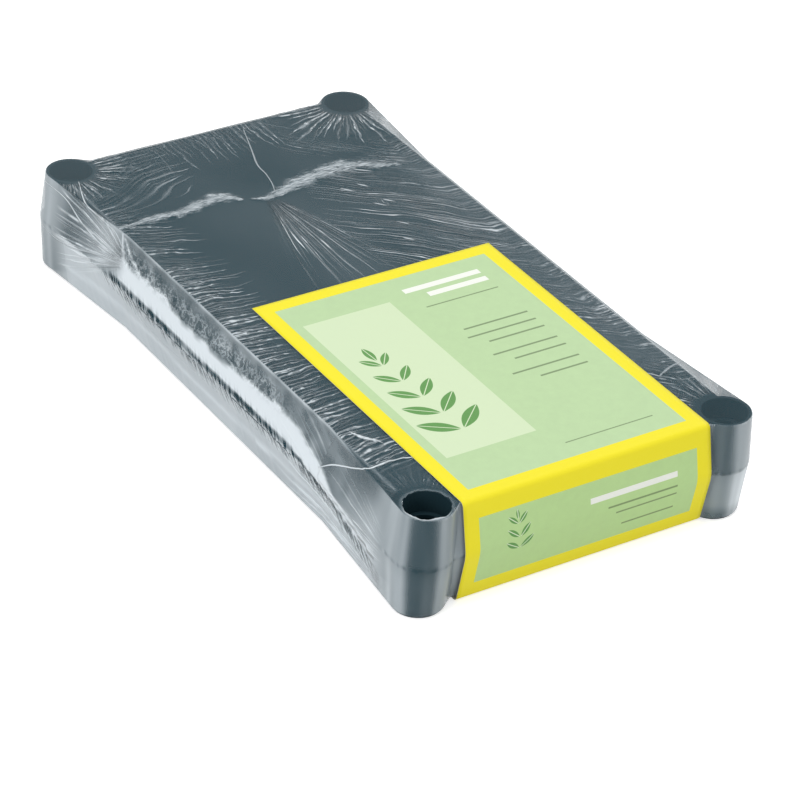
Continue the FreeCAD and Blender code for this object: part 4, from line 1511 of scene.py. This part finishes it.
@dataclass(frozen=True)
class CardPrint:
    """The card's print: green fields on yellow, plain bars and leaf sprigs.

    The card is laid out in millimetres by the distance along it from the upper flap's end, and across it.

    Attributes:
        half_width: Half the width of the green fields.
        fields: Start, end and ink of each green field along the card.
        panel: Middle and half size of the paler field.
        bars: Middle along and across, half length and half width, and ink of each bar.
        sprigs: Foot along and across, pairs of leaves and size of each leaf sprig.
        heading: Direction in which the sprigs point.
    """

    half_width: float = 98.5
    fields: tuple[tuple[float, float, Ink], ...] = (
        (13, 292, Ink.GREEN), (319, 378, Ink.MOSS), (406, 684, Ink.GREEN),
    )
    panel: tuple[Pair, Pair] = ((146, -50), (104, 40))
    bars: tuple[tuple[float, float, float, float, Ink], ...] = (
        (34, 44, 3.2, 36, Ink.WHITE),
        (46, 52, 3.2, 28, Ink.WHITE),
        (62, 46, 0.7, 34, Ink.DARK),
        (104, 50, 1.0, 30, Ink.DARK),
        (116, 48, 1.0, 32, Ink.DARK),
        (128, 54, 1.0, 26, Ink.DARK),
        (146, 50, 1.0, 30, Ink.DARK),
        (158, 56, 1.0, 24, Ink.DARK),
        (176, 49, 1.0, 31, Ink.DARK),
        (188, 58, 1.0, 22, Ink.DARK),
        (274, 40, 0.6, 40, Ink.DARK),
        (335, 40, 2.4, 40, Ink.WHITE),
        (345, 48, 0.8, 32, Ink.DARK),
        (352, 52, 0.8, 28, Ink.DARK),
        (366, 56, 0.8, 24, Ink.DARK),
    )
    sprigs: tuple[tuple[float, float, int, float], ...] = ((238, -56, 5, 19.0), (362, -62, 3, 8.0))
    heading: float = math.radians(184)

    def leaves(self) -> list[tuple[float, float, float, float]]:
        """Lays out the leaf sprigs: one large on the upper flap and a small one on the end.

        Returns:
            Middle along and across, turn and half length of each leaf.
        """
        made = []
        cosine, sine = math.cos(self.heading), math.sin(self.heading)
        for foot, side, pairs, size in self.sprigs:
            step = size * 1.35
            for number in range(pairs):
                along, grown = step * (number + 0.6), size * (1.0 - 0.11 * number)
                for hand in (-1, 1):
                    turn = self.heading + hand * math.radians(52 - 3 * number)
                    middle_u = foot + along * cosine + grown * math.cos(turn)
                    made.append((middle_u, side + along * sine + grown * math.sin(turn), turn, grown * 0.92))
            tip = step * (pairs + 0.35)
            made.append((foot + tip * cosine, side + tip * sine, self.heading, size * 0.55))
        return made

    @staticmethod
    def block(graph: Graph, place: tuple[Value, ...], middle: Pair, half: Pair) -> Value:
        """The mask of a printed rectangle.

        Args:
            graph: The material's graph.
            place: The place along and across the card.
            middle: The rectangle's middle, in millimetres.
            half: Half its size, in millimetres.

        Returns:
            The mask.
        """
        sizes = zip(("Middle_U", "Middle_V", "Half_U", "Half_V"), (*middle, *half))
        values = {name: size * MM for name, size in sizes}
        return graph.use(EFFECTS.printed_block, U=place[0], V=place[1], **values)["Mask"]

    def material(self) -> bpy.types.Material:
        """Builds the material.

        Returns:
            The new material.
        """
        made, graph, shader = new_material("printed card")
        place = graph.parts(graph.read("UVMap", "UV", uv_map="print"))
        fibre = graph.use(EFFECTS.card_fibre, Place=graph.place())
        colour = Ink.YELLOW.value
        for start, end, ink in self.fields:
            mask = self.block(graph, place, ((start + end) / 2, 0.0), ((end - start) / 2, self.half_width))
            shade = graph.blend(fibre["Mottle"], ink.value, tuple(part * 1.05 for part in ink.value))
            colour = graph.blend(mask, colour, shade)
        colour = graph.blend(self.block(graph, place, *self.panel) * 0.75, colour, Ink.PALE.value)
        for middle_u, middle_v, half_u, half_v, ink in self.bars:
            bar = self.block(graph, place, (middle_u, middle_v), (half_u, half_v))
            colour = graph.blend(bar if ink is Ink.WHITE else bar * 0.7, colour, ink.value)
        for middle_u, middle_v, turn, half in self.leaves():
            values = {"Middle_U": middle_u * MM, "Middle_V": middle_v * MM, "Turn": turn, "Half": half * MM}
            leaf = graph.use(EFFECTS.printed_leaf, U=place[0], V=place[1], **values)
            colour = graph.blend(leaf["Mask"], colour, Ink.LEAF.value)
            colour = graph.blend(leaf["Rib"], colour, Ink.PALE.value)
        rough, normal = fibre["Mottle"].spread(0.42, 0.54), graph.bump(fibre["Height"], 0.03 * MM)
        graph.fill(shader, {"Base Color": colour, "Roughness": rough, "Normal": normal})
        shader.inputs["Specular IOR Level"].default_value = 0.25
        return made


SLATE = Finish("slate tier plastic", (0.016, 0.040, 0.052), (0.021, 0.048, 0.061), 0.42, grain=1100.0)
TUBE = DrawnTube("drawn tube plastic", (0.020, 0.026, 0.030), (0.026, 0.033, 0.037), 0.45)
FOOT = Finish("moulded foot plastic", (0.020, 0.026, 0.030), (0.027, 0.034, 0.038), 0.5, grain=1300.0)
CLIP = Finish("clip plastic", (0.045, 0.060, 0.070), (0.052, 0.068, 0.078), 0.5, grain=1500.0)
ZINC = Threaded("zinc plated screw", (0.60, 0.61, 0.63), (0.30, 0.30, 0.30), 0.32, 1.0, start=-0.236)
NYLON = Threaded("grey nylon plug", (0.36, 0.38, 0.40), (0.25, 0.27, 0.29), 0.5, pitch=3 * MM, start=-0.242)
RAW_CARD = Finish("raw card", (0.52, 0.49, 0.42), (0.60, 0.57, 0.50), 0.85, grain=600.0)


@dataclass
class DressedNodes:
    """CAD nodes that keep their own shape and get a finish.

    Attributes:
        finishes: Each finish, by the starts of the names of its nodes.
    """

    finishes: dict[tuple[str, ...], Finish]

    def dress(self) -> None:
        """Gives every one of these nodes its finish."""
        for starts, finish in self.finishes.items():
            material = finish.material()
            for name in sorted(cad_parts):
                if name.startswith(starts):
                    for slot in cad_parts[name].material_slots:
                        slot.material = material
                    log.info("dressed %s in %s", name, material.name)


@dataclass
class TierStack(DressedNodes):
    """The two moulded tiers, in one finish."""

    finishes: dict[tuple[str, ...], Finish] = field(
        default_factory=lambda: {("base_tier", "tool_tier"): SLATE}
    )


@dataclass
class PackedPieces(DressedNodes):
    """The pieces that lie between the tiers."""

    finishes: dict[tuple[str, ...], Finish] = field(
        default_factory=lambda: {
            ("leg_",): TUBE,
            ("foot_",): FOOT,
            ("wall_clip_",): CLIP,
            ("wall_screws",): ZINC,
            ("wall_plugs",): NYLON,
        }
    )


@dataclass(frozen=True)
class SoftLamp:
    """A soft box.

    Attributes:
        name: Its name.
        place: Where it stands.
        size: Its width and height.
        power: Its power in watts.
    """

    name: str
    place: Triple
    size: Pair
    power: float


@dataclass
class Studio:
    """A plain white studio, with the camera where the photograph was taken.

    Attributes:
        lens: Focal length in millimetres, for a sensor 36 mm wide.
        eye: Where the camera stands.
        right: The camera's right.
        up: The camera's up.
        target: The place that the lamps are turned to.
        lamps: The soft boxes.
        sky: Strength of the light from all round.
        glow: Strength of the floor's own light where it is seen.
        floor_half: Half the size of the floor.
    """

    lens: float = 153.2303
    eye: Triple = (1.948429, -1.28632, 1.48551)
    right: Triple = (0.53081, 0.846023, 0.049859)
    up: Triple = (-0.482111, 0.253053, 0.838769)
    target: Triple = (0.0, 0.0, 0.04)
    lamps: tuple[SoftLamp, ...] = (
        SoftLamp("back_box", (-0.9, 2.3, 1.4), (0.6, 0.6), 8.0),
        SoftLamp("top_box", (0.1, -0.2, 2.4), (1.2, 1.2), 12.0),
        SoftLamp("front_box", (0.6, -2.0, 1.1), (1.0, 0.8), 9.0),
    )
    sky: float = 0.72
    glow: float = 0.58
    floor_half: float = 6.0

    @staticmethod
    def show(name: str, data: bpy.types.ID) -> bpy.types.Object:
        """Puts something into the scene.

        Args:
            name: The object's name.
            data: Its camera, lamp or mesh.

        Returns:
            The new object.
        """
        made = bpy.data.objects.new(name, data)
        bpy.context.scene.collection.objects.link(made)
        return made

    def camera(self) -> None:
        """Makes the camera."""
        data = bpy.data.cameras.new("camera")
        data.lens, data.sensor_width, data.clip_start = self.lens, 36.0, 0.05
        right, up = Vector(self.right).normalized(), Vector(self.up).normalized()
        turn = Matrix((right, up, right.cross(up).normalized())).transposed()
        camera = self.show("camera", data)
        camera.matrix_world = Matrix.Translation(self.eye) @ turn.to_4x4()
        bpy.context.scene.camera = camera

    def lights(self) -> None:
        """Sets up the soft boxes, each turned to the pack."""
        for lamp in self.lamps:
            data = bpy.data.lights.new(lamp.name, "AREA")
            data.shape, data.energy = "RECTANGLE", lamp.power
            data.size, data.size_y = lamp.size
            made = self.show(lamp.name, data)
            made.location = lamp.place
            sight = Vector(self.target) - Vector(lamp.place)
            made.rotation_euler = sight.to_track_quat("-Z", "Y").to_euler()

    @staticmethod
    def seen_white(graph: Graph) -> Value:
        """1 for the rays that see the background, and 0 for those that light the pack."""
        rays = graph.node("LightPath").outputs
        return graph.highest(*(Value(graph, rays[name]) for name in SEEING_RAYS))

    def world(self) -> None:
        """Makes a white sky that lights the pack at a plain level."""
        world = bpy.data.worlds.new("white studio")
        world.use_nodes = True
        bpy.context.scene.world = world
        graph = Graph(world.node_tree)
        background = next(node for node in world.node_tree.nodes if node.type == "BACKGROUND")
        background.inputs["Color"].default_value = (1.0, 1.0, 1.0, 1.0)
        graph.feed(background.inputs["Strength"], self.seen_white(graph).spread(self.sky, 1.0))

    def floor(self) -> None:
        """Makes the pale floor, which keeps the pack's shadow."""
        mesh = bpy.data.meshes.new("floor")
        half = self.floor_half
        corners = [(-half, -half, 0), (half, -half, 0), (half, half, 0), (-half, half, 0)]
        mesh.from_pydata(corners, [], [range(4)])
        floor = self.show("floor", mesh)
        material, graph, shader = new_material("floor")
        shader.inputs["Base Color"].default_value = (0.8, 0.8, 0.8, 1.0)
        shader.inputs["Roughness"].default_value = 0.9
        shader.inputs["Specular IOR Level"].default_value = 0.0
        shader.inputs["Emission Color"].default_value = (1.0, 1.0, 1.0, 1.0)
        graph.feed(shader.inputs["Emission Strength"], self.seen_white(graph) * self.glow)
        mesh.materials.append(material)

    def build(self) -> None:
        """Makes the whole studio."""
        self.camera()
        self.lights()
        self.world()
        self.floor()
        bpy.context.scene.view_settings.view_transform = "Standard"


def main() -> None:
    """Builds the studio and every piece, in order, and logs what it dresses and builds."""
    logging.basicConfig(level=logging.INFO, format="%(name)s: %(message)s")
    Studio().build()
    TierStack().dress()
    PackedPieces().dress()
    for part in (ShrinkFilm(), CardSleeve()):
        piece = part.build()
        log.info("built %s with %d faces", piece.name, len(piece.data.polygons))


if __name__ == "__main__":
    main()
